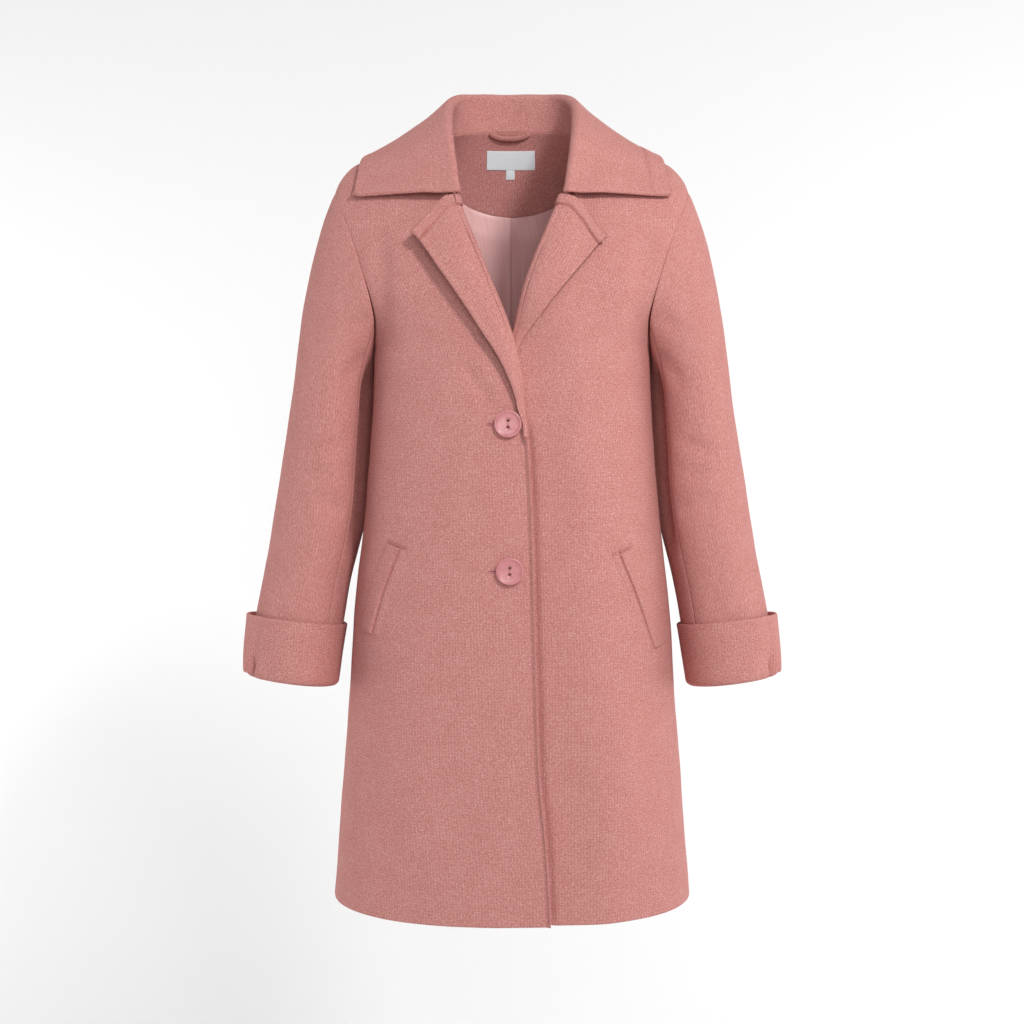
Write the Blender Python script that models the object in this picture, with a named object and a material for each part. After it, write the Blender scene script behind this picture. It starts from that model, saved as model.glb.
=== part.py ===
"""A knee-length single-breasted wool coat in its worn shape, hollow, as closed solids at real size.

The frame is the wearer's: +Z up, the front faces -Y, and the origin is the middle of the neck base.
Each cut piece is one object. A panel is a wall of even thickness under a surface that is worked out
from the section tables below, and whatever lies on a panel is made from the same surface, moved out.
Tables give their places as "reach", the distance from the centre plane towards the named side.
"""
import math
from collections import namedtuple

import bmesh
import bpy
import numpy as np
from mathutils import Matrix, Vector

# ---- Driving sizes, in metres -------------------------------------------------------------
WALL = 0.003                # boiled wool with its fusing
LINING = 0.001              # satin
SEAM = 0.0003               # gap between two pieces at a seam
ARMHOLE_EASE = 0.00022      # each side of an armhole seam is drawn back this far
LAYER_GAP = 0.0010          # air between two layers that lie on each other
CHEST_HEIGHT = -0.245       # level of the underarm points
YOKE_DEPTH = 0.238          # from the chest level up to the shoulder line at mid shoulder
FRONT_HEM_DIP = 0.0086      # the hem hangs this much lower at the centre front
BACK_HEM_DIP = 0.004
HEM_DIP_START = -0.60       # the dip grows from here down, over this run
HEM_DIP_RUN = 0.26
RIDGE_Y = 0.006             # the shoulder seams lie a little behind the neck's middle
SECTION_POWER = 2.3         # superellipse of the body's horizontal sections
FRONT_ROLL_POWER = 1.75     # how the chest rounds up to the shoulder seam
BACK_ROLL_POWER = 2.3       # the back is fuller
ARMHOLE_FRONT = 0.66        # depth of the armhole, as a share of the section's depth
ARMHOLE_BACK = 0.70
ARMHOLE_ROUND = 0.36        # share of the armhole's height that its rounded bottom takes
EDGE_ROLL = 0.0020          # the front edge stands this proud where its layers turn
EDGE_ROLL_WIDTH = 0.005
EDGE_ROLL_TOP = -0.325      # the proud edge fades in from here down, over this run
EDGE_ROLL_RUN = 0.030
ROLL_RADIUS = WALL + LAYER_GAP              # mid line of a wall folded round another wall's edge
ROLL_REACH = ROLL_RADIUS + WALL / 2         # how far such a fold stands out past that edge
ROLL_SLACK = 0.0014                         # room inside the lapel's roll
LAP_STEP = 2 * (WALL + LAYER_GAP)           # the under front lies this much further in
LAP_MARGIN = 0.006                          # as far as this past the upper front's edge,
LAP_FADE = 0.060                            # then comes out again over this width
LAP_TOP = -0.168                            # the step starts here and is whole this much lower
LAP_RUN = 0.078
FACING_WIDTH = 0.040                        # the right front is double this far from its edge
FACING_FADE = 0.020
RIGHT_ROLL_START = -0.322                   # heights at which the lapels start to turn
LEFT_ROLL_START = -0.232
GORGE_HEIGHT = -0.0868                      # and where they meet the collar
NECK_CUT = 0.0665                           # least reach of the neck seam above the gorge
NECK_CUT_BELOW = -0.1035                    # which the front's edge reaches from here up
NECK_CUT_EASE = 0.010
ROLL_EASE = 0.020                           # the cut edge moves inside the roll over this height
GORGE_EASE = 0.030                          # and out of it again over this one
LAPEL_INSIDE = 0.016                        # how far a lapel's piece runs on inside the front
LAPEL_LOFT = 0.004                          # its soft roll
FRONT, BACK = -1, 1
RIGHT, LEFT = -1, 1

# ---- Tables -------------------------------------------------------------------------------
# Horizontal sections of the body from the hem to the chest.
Section = namedtuple("Section", "height half_width front_depth back_depth")
BODY = (
    Section(-0.865, 0.2030, 0.152, 0.150),
    Section(-0.739, 0.1940, 0.149, 0.142),
    Section(-0.629, 0.1860, 0.145, 0.134),
    Section(-0.535, 0.1800, 0.141, 0.126),
    Section(-0.443, 0.1700, 0.138, 0.120),
    Section(-0.355, 0.1625, 0.136, 0.119),
    Section(-0.290, 0.1590, 0.133, 0.122),
    Section(-0.245, 0.1580, 0.129, 0.124),
)
# The shoulder line, and past the neck point the level to which the back's slope aims.
Ridge = namedtuple("Ridge", "reach height")
SHOULDER = (
    Ridge(0.000, 0.0728),
    Ridge(0.030, 0.0640),
    Ridge(0.055, 0.0400),
    Ridge(0.070, 0.0180),
    Ridge(0.077, 0.0080),
    Ridge(0.100, -0.0010),
    Ridge(0.124, -0.0095),
    Ridge(0.147, -0.0180),
    Ridge(0.169, -0.0250),
    Ridge(0.182, -0.0310),
    Ridge(0.192, -0.0405),
    Ridge(0.199, -0.0505),
    Ridge(0.2045, -0.0630),
)
# The armhole seam, by its share of the height from the chest to the shoulder line.
Armhole = namedtuple("Armhole", "share reach")
ARMHOLE = (
    Armhole(0.00, 0.1580),
    Armhole(0.06, 0.1545),
    Armhole(0.12, 0.1535),
    Armhole(0.22, 0.1570),
    Armhole(0.32, 0.1630),
    Armhole(0.46, 0.1720),
    Armhole(0.62, 0.1830),
    Armhole(0.78, 0.1940),
    Armhole(1.00, 0.2045),
)
# Front edges: hem to break, roll line to the gorge, then the neck seam to the neck point.
# A reach below zero is past the centre.
FrontEdge = namedtuple("FrontEdge", "height reach")
RIGHT_EDGE = (
    FrontEdge(-0.874, -0.0427),
    FrontEdge(-0.820, -0.0401),
    FrontEdge(-0.770, -0.0365),
    FrontEdge(-0.720, -0.0313),
    FrontEdge(-0.621, -0.0275),
    FrontEdge(-0.528, -0.0251),
    FrontEdge(-0.409, -0.0215),
    FrontEdge(-0.337, -0.0166),
    FrontEdge(-0.289, -0.0107),
    FrontEdge(-0.258, -0.0036),
    FrontEdge(-0.231, 0.0040),
    FrontEdge(-0.166, 0.0280),
    FrontEdge(-0.084, 0.0580),
    FrontEdge(-0.040, 0.0695),
    FrontEdge(0.008, 0.0770),
)
LEFT_EDGE = (
    FrontEdge(-0.874, -0.0270),
    FrontEdge(-0.620, -0.0270),
    FrontEdge(-0.337, -0.0250),
    FrontEdge(-0.289, -0.0170),
    FrontEdge(-0.231, 0.0010),
    FrontEdge(-0.159, 0.0218),
    FrontEdge(-0.084, 0.0520),
    FrontEdge(-0.040, 0.0695),
    FrontEdge(0.008, 0.0770),
)
# Outer edges of the lapels, from the break to the tip, and the notch where the collar meets.
LapelEdge = namedtuple("LapelEdge", "share reach height")
RIGHT_LAPEL = (
    LapelEdge(0.00, -0.0065, -0.3230),
    LapelEdge(0.13, -0.0020, -0.3020),
    LapelEdge(0.27, 0.0080, -0.2755),
    LapelEdge(0.48, 0.0335, -0.2316),
    LapelEdge(0.70, 0.0619, -0.1867),
    LapelEdge(1.00, 0.1083, -0.1248),
)
LEFT_LAPEL = (
    LapelEdge(0.00, 0.0100, -0.2460),
    LapelEdge(0.22, 0.0290, -0.2190),
    LapelEdge(0.52, 0.0560, -0.1830),
    LapelEdge(1.00, 0.1038, -0.1310),
)
Notch = namedtuple("Notch", "reach height")
RIGHT_NOTCH = Notch(0.0700, -0.0865)
LEFT_NOTCH = Notch(0.0660, -0.0880)
# Sleeve tubes below the armhole, each row a level section.
Tube = namedtuple("Tube", "height inner outer middle_y half_depth")
SLEEVE = (
    Tube(-0.301, 0.1630, 0.2545, 0.012, 0.0750),
    Tube(-0.355, 0.1655, 0.2625, 0.010, 0.0715),
    Tube(-0.446, 0.1725, 0.2760, 0.003, 0.0660),
    Tube(-0.497, 0.1835, 0.2840, -0.003, 0.0630),
    Tube(-0.550, 0.1925, 0.2930, -0.011, 0.0605),
    Tube(-0.621, 0.2010, 0.2995, -0.022, 0.0575),
)
# The collar from the centre back (share 0) to its front ends (share 1). Its neck seam and its outer
# edge lie on the body at an angle over the shoulder line: below 90 in front, above 90 behind.
Collar = namedtuple(
    "Collar", "share neck_reach neck_angle fold_reach fold_y fold_height edge_reach edge_angle")
COLLAR = (
    Collar(0.00, 0.0000, 124.3, 0.0000, 0.0790, 0.0672, 0.0000, 140.4),
    Collar(0.16, 0.0280, 122.3, 0.0430, 0.0730, 0.0672, 0.0600, 132.0),
    Collar(0.30, 0.0500, 115.8, 0.0610, 0.0560, 0.0630, 0.1140, 115.6),
    Collar(0.46, 0.0700, 102.3, 0.0720, 0.0300, 0.0510, 0.1480, 102.0),
    Collar(0.64, 0.0770, 84.0, 0.0752, -0.0110, 0.0290, 0.1650, 90.0),
    Collar(0.82, 0.0720, 61.0, 0.0726, -0.0610, -0.0110, 0.1720, 71.0),
    Collar(1.00, 0.0640, 38.5, 0.0620, -0.1020, -0.0795, 0.1750, 51.5),
)
Pocket = namedtuple("Pocket", "share reach height")
RIGHT_POCKET = (
    Pocket(0.0, 0.1280, -0.4640),
    Pocket(0.5, 0.1465, -0.5100),
    Pocket(1.0, 0.1620, -0.5620),
)
LEFT_POCKET = (
    Pocket(0.0, 0.1225, -0.4700),
    Pocket(0.5, 0.1430, -0.5200),
    Pocket(1.0, 0.1640, -0.5780),
)
POCKET_WIDTH = 0.016
POCKET_THICKNESS = 0.0025
BUTTON_RADIUS = 0.015
BUTTON_THICKNESS = 0.0042
BUTTON_HOLE_RADIUS = 0.0013
BUTTON_HOLE_SPACING = 0.0056
BUTTONS = {"button_upper": (0.0043, -0.3355), "button_lower": (0.0025, -0.4938)}
CUFF_DEPTH = 0.074
CUFF_LIP = 0.020

# ---- Colours ------------------------------------------------------------------------------
WOOL = ("wool", (0.60, 0.27, 0.25, 1.0), 0.95)
SATIN = ("lining_satin", (0.62, 0.36, 0.35, 1.0), 0.45)
WOVEN = ("label_cloth", (0.78, 0.79, 0.80, 1.0), 0.7)
RESIN = ("button_resin", (0.78, 0.36, 0.42, 1.0), 0.35)


def material(name, colour, roughness):
    """One plain finish, made once and shared."""
    found = bpy.data.materials.get(name)
    if found:
        return found
    made = bpy.data.materials.new(name)
    made.use_nodes = True
    shader = made.node_tree.nodes["Principled BSDF"]
    shader.inputs["Base Color"].default_value = colour
    shader.inputs["Roughness"].default_value = roughness
    return made


# ---- Curves -------------------------------------------------------------------------------
def through(knots, values, place):
    """Smooth curve through values or points at their knots, read at a place between them."""
    slopes = np.gradient(values, knots, axis=0)
    at = np.clip(place, knots[0], knots[-1])
    left = np.clip(np.searchsorted(knots, at, side="right") - 1, 0, len(knots) - 2)
    span = knots[left + 1] - knots[left]
    t = (at - knots[left]) / span
    start = values[left] * (1 + 2 * t) * (1 - t) ** 2 + slopes[left] * span * t * (1 - t) ** 2
    end = values[left + 1] * t * t * (3 - 2 * t) - slopes[left + 1] * span * t * t * (1 - t)
    return start + end


def curve(table, place, column):
    """Smooth value of one column of a table at a place given in its first column's terms."""
    knots = np.array([row[0] for row in table])
    return through(knots, np.array([getattr(row, column) for row in table]), place)


def signed_power(value, power):
    return np.sign(value) * np.abs(value) ** power


def smooth_step(value):
    t = np.clip(value, 0, 1)
    return t * t * (3 - 2 * t)


def unit(vectors):
    return vectors / np.maximum(np.linalg.norm(vectors, axis=-1, keepdims=True), 1e-12)


# ---- The body's surface -------------------------------------------------------------------
# Level is 0 at the chest, 1 on the shoulder line, and below 0 in steps of YOKE_DEPTH.
def armhole_depth(face, level):
    """Depth of the armhole at a level, as a share of the section's depth."""
    deepest = ARMHOLE_FRONT if face == FRONT else ARMHOLE_BACK
    rise = 1 - np.clip(level / ARMHOLE_ROUND, 0, 1)
    return deepest * np.sqrt(np.clip(1 - rise ** 2, 0, 1))


def half_width(face, level):
    """Half width of the whole section, of which the armhole cuts off the side above the chest."""
    below = curve(BODY, CHEST_HEIGHT + np.minimum(level, 0) * YOKE_DEPTH, "half_width")
    kept = (1 - armhole_depth(face, level) ** SECTION_POWER) ** (1 / SECTION_POWER)
    above = curve(ARMHOLE, np.clip(level, 0, 1), "reach") / kept
    return np.where(level > 0, above, below)


def surface(face, angle, level):
    """Points of the body's outer surface at angles round its section, 0 at the side."""
    share = np.clip(level, 0, 1)
    height = CHEST_HEIGHT + np.minimum(level, 0) * YOKE_DEPTH
    depth = curve(BODY, height, "front_depth" if face == FRONT else "back_depth")
    across = half_width(face, level) * signed_power(np.cos(angle), 2 / SECTION_POWER)
    forward = signed_power(np.sin(angle), 2 / SECTION_POWER)
    power = FRONT_ROLL_POWER if face == FRONT else BACK_ROLL_POWER
    roll = (1 - share ** power) ** (1 / power)
    y = np.where(level > 0, RIDGE_Y + (face * depth * forward - RIDGE_Y) * roll, face * depth * forward)
    ridge = curve(SHOULDER, np.abs(across), "height")
    dip = FRONT_HEM_DIP if face == FRONT else BACK_HEM_DIP
    sag = dip * np.abs(forward) ** 1.2 * smooth_step((HEM_DIP_START - height) / HEM_DIP_RUN)
    z = height + share * (ridge - CHEST_HEIGHT) - sag
    return np.stack(np.broadcast_arrays(across, y, z), axis=-1)


def section_angle(face, reach, level):
    share = np.clip(reach / half_width(face, level), -1, 1)
    return np.arccos(signed_power(share, SECTION_POWER / 2))


def body_frame(face, reach, level):
    """Points of the body's surface and its outward normals there."""
    reach, level = np.broadcast_arrays(np.asarray(reach, float), np.asarray(level, float))
    angle = section_angle(face, reach, level)
    small = 0.004
    points = surface(face, angle, level)
    round_it = surface(face, angle + small, level) - surface(face, angle - small, level)
    top = np.minimum(level + small, 1.0)
    up_it = surface(face, angle, top) - surface(face, angle, top - 2 * small)
    normals = np.cross(round_it, up_it)
    centre = np.stack([0 * level, 0 * level, np.minimum(points[..., 2], CHEST_HEIGHT) - 0.02], axis=-1)
    inward = np.sum(normals * (points - centre), axis=-1, keepdims=True) < 0
    normals = np.where(inward, -normals, normals)
    on_seam = (level > 1 - 1e-9) | ((level <= 0) & (np.abs(angle) < 1e-6))
    normals[..., 1] = np.where(on_seam, 0, normals[..., 1])
    return points, unit(normals)


def level_at(reach, height):
    """Level of a point of the body that is given by its height."""
    above = (height - CHEST_HEIGHT) / (curve(SHOULDER, np.abs(reach), "height") - CHEST_HEIGHT)
    return np.where(height > CHEST_HEIGHT, np.clip(above, 0, 1), (height - CHEST_HEIGHT) / YOKE_DEPTH)


def level_at_angle(angle):
    """Face and level of a place given by its angle over the shoulder line."""
    face = FRONT if angle <= 90 else BACK
    power = FRONT_ROLL_POWER if face == FRONT else BACK_ROLL_POWER
    return face, math.sin(math.radians(angle)) ** (2 / power)


def front_relief(side, reach, height):
    """How far a front stands out from the body's surface: its rolled edge, or its lap."""
    if side == RIGHT:
        below_break = smooth_step((EDGE_ROLL_TOP - height) / EDGE_ROLL_RUN)
        past_edge = (reach - curve(RIGHT_EDGE, height, "reach")) / EDGE_ROLL_WIDTH
        return EDGE_ROLL * below_break * np.exp(-past_edge ** 2)
    past_lap = (reach + curve(RIGHT_EDGE, height, "reach") - LAP_MARGIN) / LAP_FADE
    return -LAP_STEP * (1 - smooth_step(past_lap)) * smooth_step((LAP_TOP - height) / LAP_RUN)


def on_body(face, side, reach, height, out):
    """Points over a place on a panel: out is the distance from its outer face."""
    reach, height = np.broadcast_arrays(np.asarray(reach, float), np.asarray(height, float))
    points, normals = body_frame(face, reach, level_at(reach, height))
    lift = np.broadcast_to(np.asarray(out, float), reach.shape)
    if face == FRONT:
        lift = lift + front_relief(side, reach, height)
    return (points + normals * lift[..., None]) * np.array([side, 1, 1])


# ---- Solids -------------------------------------------------------------------------------
SMOOTH_ANGLE = math.radians(40)


def add_object(name, vertices, faces, finish):
    """A closed mesh from points and faces, with its faces turned outward."""
    mesh = bpy.data.meshes.new(name)
    mesh.from_pydata([tuple(map(float, point)) for point in vertices], [], faces)
    cleaned = bmesh.new()
    cleaned.from_mesh(mesh)
    bmesh.ops.recalc_face_normals(cleaned, faces=cleaned.faces)
    cleaned.to_mesh(mesh)
    cleaned.free()
    mesh.shade_smooth()
    mesh.set_sharp_from_angle(angle=SMOOTH_ANGLE)
    mesh.materials.append(material(*finish))
    made = bpy.data.objects.new(name, mesh)
    bpy.context.collection.objects.link(made)
    return made


def shell(name, outer, inner, finish, wrap=False):
    """A wall between two equal grids of points. A wrapped one is a tube, open at both ends."""
    rows, columns = outer.shape[:2]
    count = rows * columns

    def at(row, column, layer):
        return layer * count + row * columns + column % columns

    faces = []
    steps = columns if wrap else columns - 1
    for row in range(rows - 1):
        for column in range(steps):
            for layer in (0, 1):
                faces.append((at(row, column, layer), at(row, column + 1, layer),
                              at(row + 1, column + 1, layer), at(row + 1, column, layer)))
    for row in (0, rows - 1):
        for column in range(steps):
            faces.append((at(row, column, 0), at(row, column + 1, 0),
                          at(row, column + 1, 1), at(row, column, 1)))
    if not wrap:
        for column in (0, columns - 1):
            for row in range(rows - 1):
                faces.append((at(row, column, 0), at(row + 1, column, 0),
                              at(row + 1, column, 1), at(row, column, 1)))
    vertices = np.concatenate([outer.reshape(-1, 3), inner.reshape(-1, 3)])
    return add_object(name, vertices, faces, finish)


def pull_in(grid, edges, distance=SEAM / 2):
    """The grid with the named edges drawn back from their seams, along the surface."""
    grid = grid.copy()
    if "first_row" in edges:
        grid[0] += unit(grid[1] - grid[0]) * distance
    if "last_row" in edges:
        grid[-1] += unit(grid[-2] - grid[-1]) * distance
    if "first_column" in edges:
        grid[:, 0] += unit(grid[:, 1] - grid[:, 0]) * distance
    if "last_column" in edges:
        grid[:, -1] += unit(grid[:, -2] - grid[:, -1]) * distance
    return grid


def grid_normals(grid, wrap=False):
    """Normals of a grid of points, from the steps along its rows and columns."""
    along = np.gradient(grid, axis=0)
    if wrap:
        across = np.roll(grid, -1, axis=1) - np.roll(grid, 1, axis=1)
    else:
        across = np.gradient(grid, axis=1)
    return unit(np.cross(along, across))


# ---- Armholes and levels ------------------------------------------------------------------
ARMHOLE_STEPS = 10


def armhole_levels(face):
    """Levels that share the armhole seam into even lengths, from the underarm to the shoulder."""
    dense = np.linspace(0, 1, 400) ** 2
    points = body_frame(face, curve(ARMHOLE, dense, "reach"), dense)[0]
    run = np.concatenate([[0], np.cumsum(np.linalg.norm(np.diff(points, axis=0), axis=1))])
    return np.interp(np.linspace(0, run[-1], ARMHOLE_STEPS + 1), run, dense)


LOWER_HEIGHTS = np.array([-0.865, -0.835, -0.790, -0.740, -0.690, -0.640, -0.590, -0.540,
                          -0.490, -0.445, -0.400, -0.360, -0.325, -0.295, -0.268])
LOWER_LEVELS = (LOWER_HEIGHTS - CHEST_HEIGHT) / YOKE_DEPTH


# ---- Fronts and back ----------------------------------------------------------------------
FRONT_COLUMNS = 15
BACK_REACHES = np.array([0, 0.018, 0.036, 0.051, 0.063, 0.0715, 0.077, 0.092, 0.110, 0.128, 0.147,
                         0.166, 0.183, 0.196, 0.202, 0.2045])


def roll_start(side):
    return RIGHT_ROLL_START if side == RIGHT else LEFT_ROLL_START


def cloth_edge(side, height):
    """Reach of a front's cut edge. Above the break it lies inside the lapel's roll."""
    edge = curve(RIGHT_EDGE if side == RIGHT else LEFT_EDGE, height, "reach")
    rolled = smooth_step((height - roll_start(side)) / ROLL_EASE + 1)
    rolled = rolled * (1 - smooth_step((height - GORGE_HEIGHT) / GORGE_EASE))
    edge = edge + (ROLL_REACH + ROLL_SLACK) * rolled
    at_neck = smooth_step((height - NECK_CUT_BELOW) / NECK_CUT_EASE)
    return edge + np.maximum(NECK_CUT - edge, 0) * at_neck


def front_grid(side):
    """Reaches and levels of a front's points, row by row from the hem to the shoulder."""
    levels = np.concatenate([LOWER_LEVELS, armhole_levels(FRONT)])
    reaches = []
    for level in levels:
        edge = 0.03
        for _ in range(30):
            above = level * (float(curve(SHOULDER, abs(edge), "height")) - CHEST_HEIGHT)
            height = CHEST_HEIGHT + (above if level > 0 else level * YOKE_DEPTH)
            edge = 0.5 * edge + 0.5 * float(cloth_edge(side, height))
        seam = curve(ARMHOLE, level, "reach") if level > 0 else half_width(FRONT, np.array(level))
        angles = section_angle(FRONT, np.array([edge, float(seam)]), np.array(level))
        row = np.linspace(angles[0], angles[1], FRONT_COLUMNS)
        share = signed_power(np.cos(row), 2 / SECTION_POWER)
        reaches.append(half_width(FRONT, np.array(level)) * share)
    return np.array(reaches), np.repeat(levels[:, None], FRONT_COLUMNS, axis=1)


def blend_armhole(normals, column, shared):
    """Put the directions shared with the sleeve on the armhole rows of one column."""
    start = len(LOWER_LEVELS)
    mitre = np.sum(normals[start:, column] * shared, axis=-1, keepdims=True)
    normals[start:, column] = shared / np.clip(mitre, 0.65, 1)


def build_front(side, shared):
    reaches, levels = front_grid(side)
    points, normals = body_frame(FRONT, reaches, levels)
    heights = points[..., 2]
    outer = points + normals * front_relief(side, reaches, heights)[..., None]
    thickness = np.full(reaches.shape, WALL)
    if side == RIGHT:
        past = (reaches - curve(RIGHT_EDGE, heights, "reach") - FACING_WIDTH) / FACING_FADE
        below = (RIGHT_ROLL_START - FACING_FADE - heights) / FACING_FADE
        doubled = (1 - smooth_step(past)) * smooth_step(below)
        thickness = WALL * (1 + doubled)
    blend_armhole(normals, -1, shared)
    outer = pull_in(pull_in(outer, ("last_column",), ARMHOLE_EASE), ("last_row",))
    inner = outer - normals * thickness[..., None]
    mirror = np.array([side, 1, 1])
    name = "front_right" if side == RIGHT else "front_left"
    return shell(name, outer * mirror, inner * mirror, WOOL)


def neck_level(reach):
    """Level of the back's neck seam at a reach, and 1 past the neck point."""
    shares = np.linspace(0, 0.62, 60)
    seam = curve(COLLAR, shares, "neck_reach")
    levels = np.sin(np.radians(curve(COLLAR, shares, "neck_angle"))) ** (2 / BACK_ROLL_POWER)
    return np.interp(reach, seam, levels, right=1.0)


def back_grid():
    reach_share = np.concatenate([-BACK_REACHES[:0:-1], BACK_REACHES]) / BACK_REACHES[-1]
    top = neck_level(np.abs(reach_share) * BACK_REACHES[-1])
    rows = [(level, 1.0) for level in LOWER_LEVELS] + [(level, 0.0) for level in armhole_levels(BACK)]
    reaches = []
    levels = []
    for level, below in rows:
        widest = half_width(BACK, np.array(level)) if below else curve(ARMHOLE, level, "reach")
        reaches.append(reach_share * widest)
        levels.append(np.full(reach_share.shape, level) if below else level * top)
    return np.array(reaches), np.array(levels)


def build_back(shared):
    reaches, levels = back_grid()
    outer, normals = body_frame(BACK, reaches, levels)
    blend_armhole(normals, -1, shared)
    blend_armhole(normals, 0, shared * np.array([-1, 1, 1]))
    outer = pull_in(outer, ("first_column", "last_column"), ARMHOLE_EASE)
    on_shoulder = levels[-1] > 1 - 1e-9
    drawn = pull_in(outer, ("last_row",))
    outer[-1] = np.where(on_shoulder[:, None], drawn[-1], outer[-1])
    return shell("back", outer, outer - normals * WALL, WOOL)


# ---- Sleeves and cuffs --------------------------------------------------------------------
CAP_ROWS = 7
TUBE_HEIGHTS = (-0.301, -0.345, -0.39, -0.435, -0.475, -0.51, -0.55, -0.59, -0.621)
CAP_SPREAD = np.array([0.055, 0.0, 0.0])
FRONT_SEAM_STEP = 3
BACK_SEAM_STEP = 14


def tube_ring(height, angles, grow=0.0):
    """A level ring of the sleeve. Angle 0 is its outer side and 90 its front."""
    inner = curve(SLEEVE[::-1], height, "inner") - grow
    outer = curve(SLEEVE[::-1], height, "outer") + grow
    middle_y = curve(SLEEVE[::-1], height, "middle_y")
    half_depth = curve(SLEEVE[::-1], height, "half_depth") + grow
    x = (inner + outer) / 2 + (outer - inner) / 2 * np.cos(angles)
    y = middle_y - half_depth * np.sin(angles)
    return np.stack(np.broadcast_arrays(x, y, height), axis=-1)


def sleeve_grid():
    """Rows of points from the armhole down to the wrist, round the tube from the underarm."""
    front_levels = armhole_levels(FRONT)
    back_levels = armhole_levels(BACK)[-2:0:-1]
    front_points, front_normals = body_frame(FRONT, curve(ARMHOLE, front_levels, "reach"), front_levels)
    back_points, back_normals = body_frame(BACK, curve(ARMHOLE, back_levels, "reach"), back_levels)
    armhole = np.concatenate([front_points, back_points])
    body_normals = np.concatenate([front_normals, back_normals])
    steps = len(armhole)
    angles = np.pi - 2 * np.pi * np.arange(steps) / steps
    first = tube_ring(TUBE_HEIGHTS[0], angles)
    second = tube_ring(TUBE_HEIGHTS[0] - 0.01, angles)
    drop = np.linalg.norm(first - armhole, axis=1, keepdims=True)
    leave = (first - armhole) + CAP_SPREAD
    arrive = unit(second - first) * drop
    rows = []
    for t in np.linspace(0, 1, CAP_ROWS + 1):
        rows.append(armhole * (2 * t ** 3 - 3 * t ** 2 + 1) + leave * (t ** 3 - 2 * t ** 2 + t)
                    + first * (3 * t ** 2 - 2 * t ** 3) + arrive * (t ** 3 - t ** 2))
    rows += [tube_ring(height, angles) for height in TUBE_HEIGHTS[1:]]
    return np.array(rows), body_normals


def outward_normals(grid):
    normals = grid_normals(grid, wrap=True)
    middle = grid.mean(axis=1, keepdims=True)
    flip = np.sum(normals * (grid - middle)) < 0
    return -normals if flip else normals


def shared_directions(normals, body_normals):
    """Directions across the armhole seam, halfway between the sleeve's and the body's."""
    mixed = unit(normals[0] + body_normals)
    steps = len(mixed)
    lowness = np.clip(np.cos(2 * np.pi * np.arange(steps) / steps), 0, 1) ** 2
    mixed = unit(mixed + lowness[:, None] * np.array([0, 0, -1.5]))
    return mixed


def build_sleeve(side, grid, normals, shared):
    normals = normals.copy()
    mitre = np.sum(normals[0] * shared, axis=-1, keepdims=True)
    normals[0] = shared / np.clip(mitre, 0.65, 1)
    drawn = pull_in(grid, ("first_row",), ARMHOLE_EASE)
    steps = grid.shape[1]
    upper = list(range(FRONT_SEAM_STEP, BACK_SEAM_STEP + 1))
    under = list(range(BACK_SEAM_STEP, steps)) + list(range(0, FRONT_SEAM_STEP + 1))
    mirror = np.array([side, 1, 1])
    word = "right" if side == RIGHT else "left"
    for name, columns in (("upper_sleeve_", upper), ("under_sleeve_", under)):
        outer = pull_in(drawn[:, columns], ("first_column", "last_column"))
        inner = outer - normals[:, columns] * WALL
        shell(name + word, outer * mirror, inner * mirror, WOOL)


CUFF_STEPS = 26
CUFF_TOP = -0.549
CUFF_FOLD = -0.6215
CUFF_FLARE = 0.003
CUFF_ROLL = 0.0042
CUFF_OUTER_FLARE = 0.005
VENT_ANGLE = math.radians(-22)              # the cuff laps behind this angle, 0 being its outer side
VENT_STEP = 0.0035
VENT_RISE = 0.25                            # radians over which the lap steps out
VENT_WIDTH = 0.3                            # and from which it sinks back again
VENT_FALL = 0.9


def build_cuff(side):
    """The turned-back cuff: a lip inside the wrist, the fold under it and the band outside."""
    angles = 2 * np.pi * np.arange(CUFF_STEPS) / CUFF_STEPS
    from_vent = VENT_ANGLE - np.where(angles > np.pi, angles - 2 * np.pi, angles)
    lap = smooth_step(from_vent / VENT_RISE) * smooth_step(1 - (from_vent - VENT_WIDTH) / VENT_FALL)
    path = [(CUFF_FOLD + CUFF_LIP, -WALL / 2 - CUFF_ROLL), (CUFF_FOLD, -WALL / 2 - CUFF_ROLL)]
    for turn in np.radians([-45, 0, 45]):
        path.append((CUFF_FOLD - CUFF_ROLL * math.cos(turn),
                     -WALL / 2 + CUFF_ROLL * math.sin(turn)))
    for share in (0, 0.3, 0.6, 0.85, 1.0):
        path.append((CUFF_FOLD + share * (CUFF_TOP - CUFF_FOLD),
                     -WALL / 2 + CUFF_ROLL + CUFF_FLARE * share))
    rows = []
    for place, (height, stand_off) in enumerate(path):
        ring = tube_ring(max(height, SLEEVE[-1].height), angles, stand_off)
        ring[:, 2] = height
        if place > 4:
            share = (height - CUFF_FOLD) / (CUFF_TOP - CUFF_FOLD)
            ring[:, 0] += CUFF_OUTER_FLARE * share * np.clip(np.cos(angles), 0, 1)
            centre = ring.mean(axis=0)
            ring[:, :2] += unit(ring - centre)[:, :2] * (VENT_STEP * lap)[:, None]
        rows.append(ring)
    middle = np.array(rows)
    normals = grid_normals(middle, wrap=True)
    mirror = np.array([side, 1, 1])
    outer = (middle + normals * WALL / 2) * mirror
    inner = (middle - normals * WALL / 2) * mirror
    shell("cuff_right" if side == RIGHT else "cuff_left", outer, inner, WOOL, wrap=True)


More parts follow.
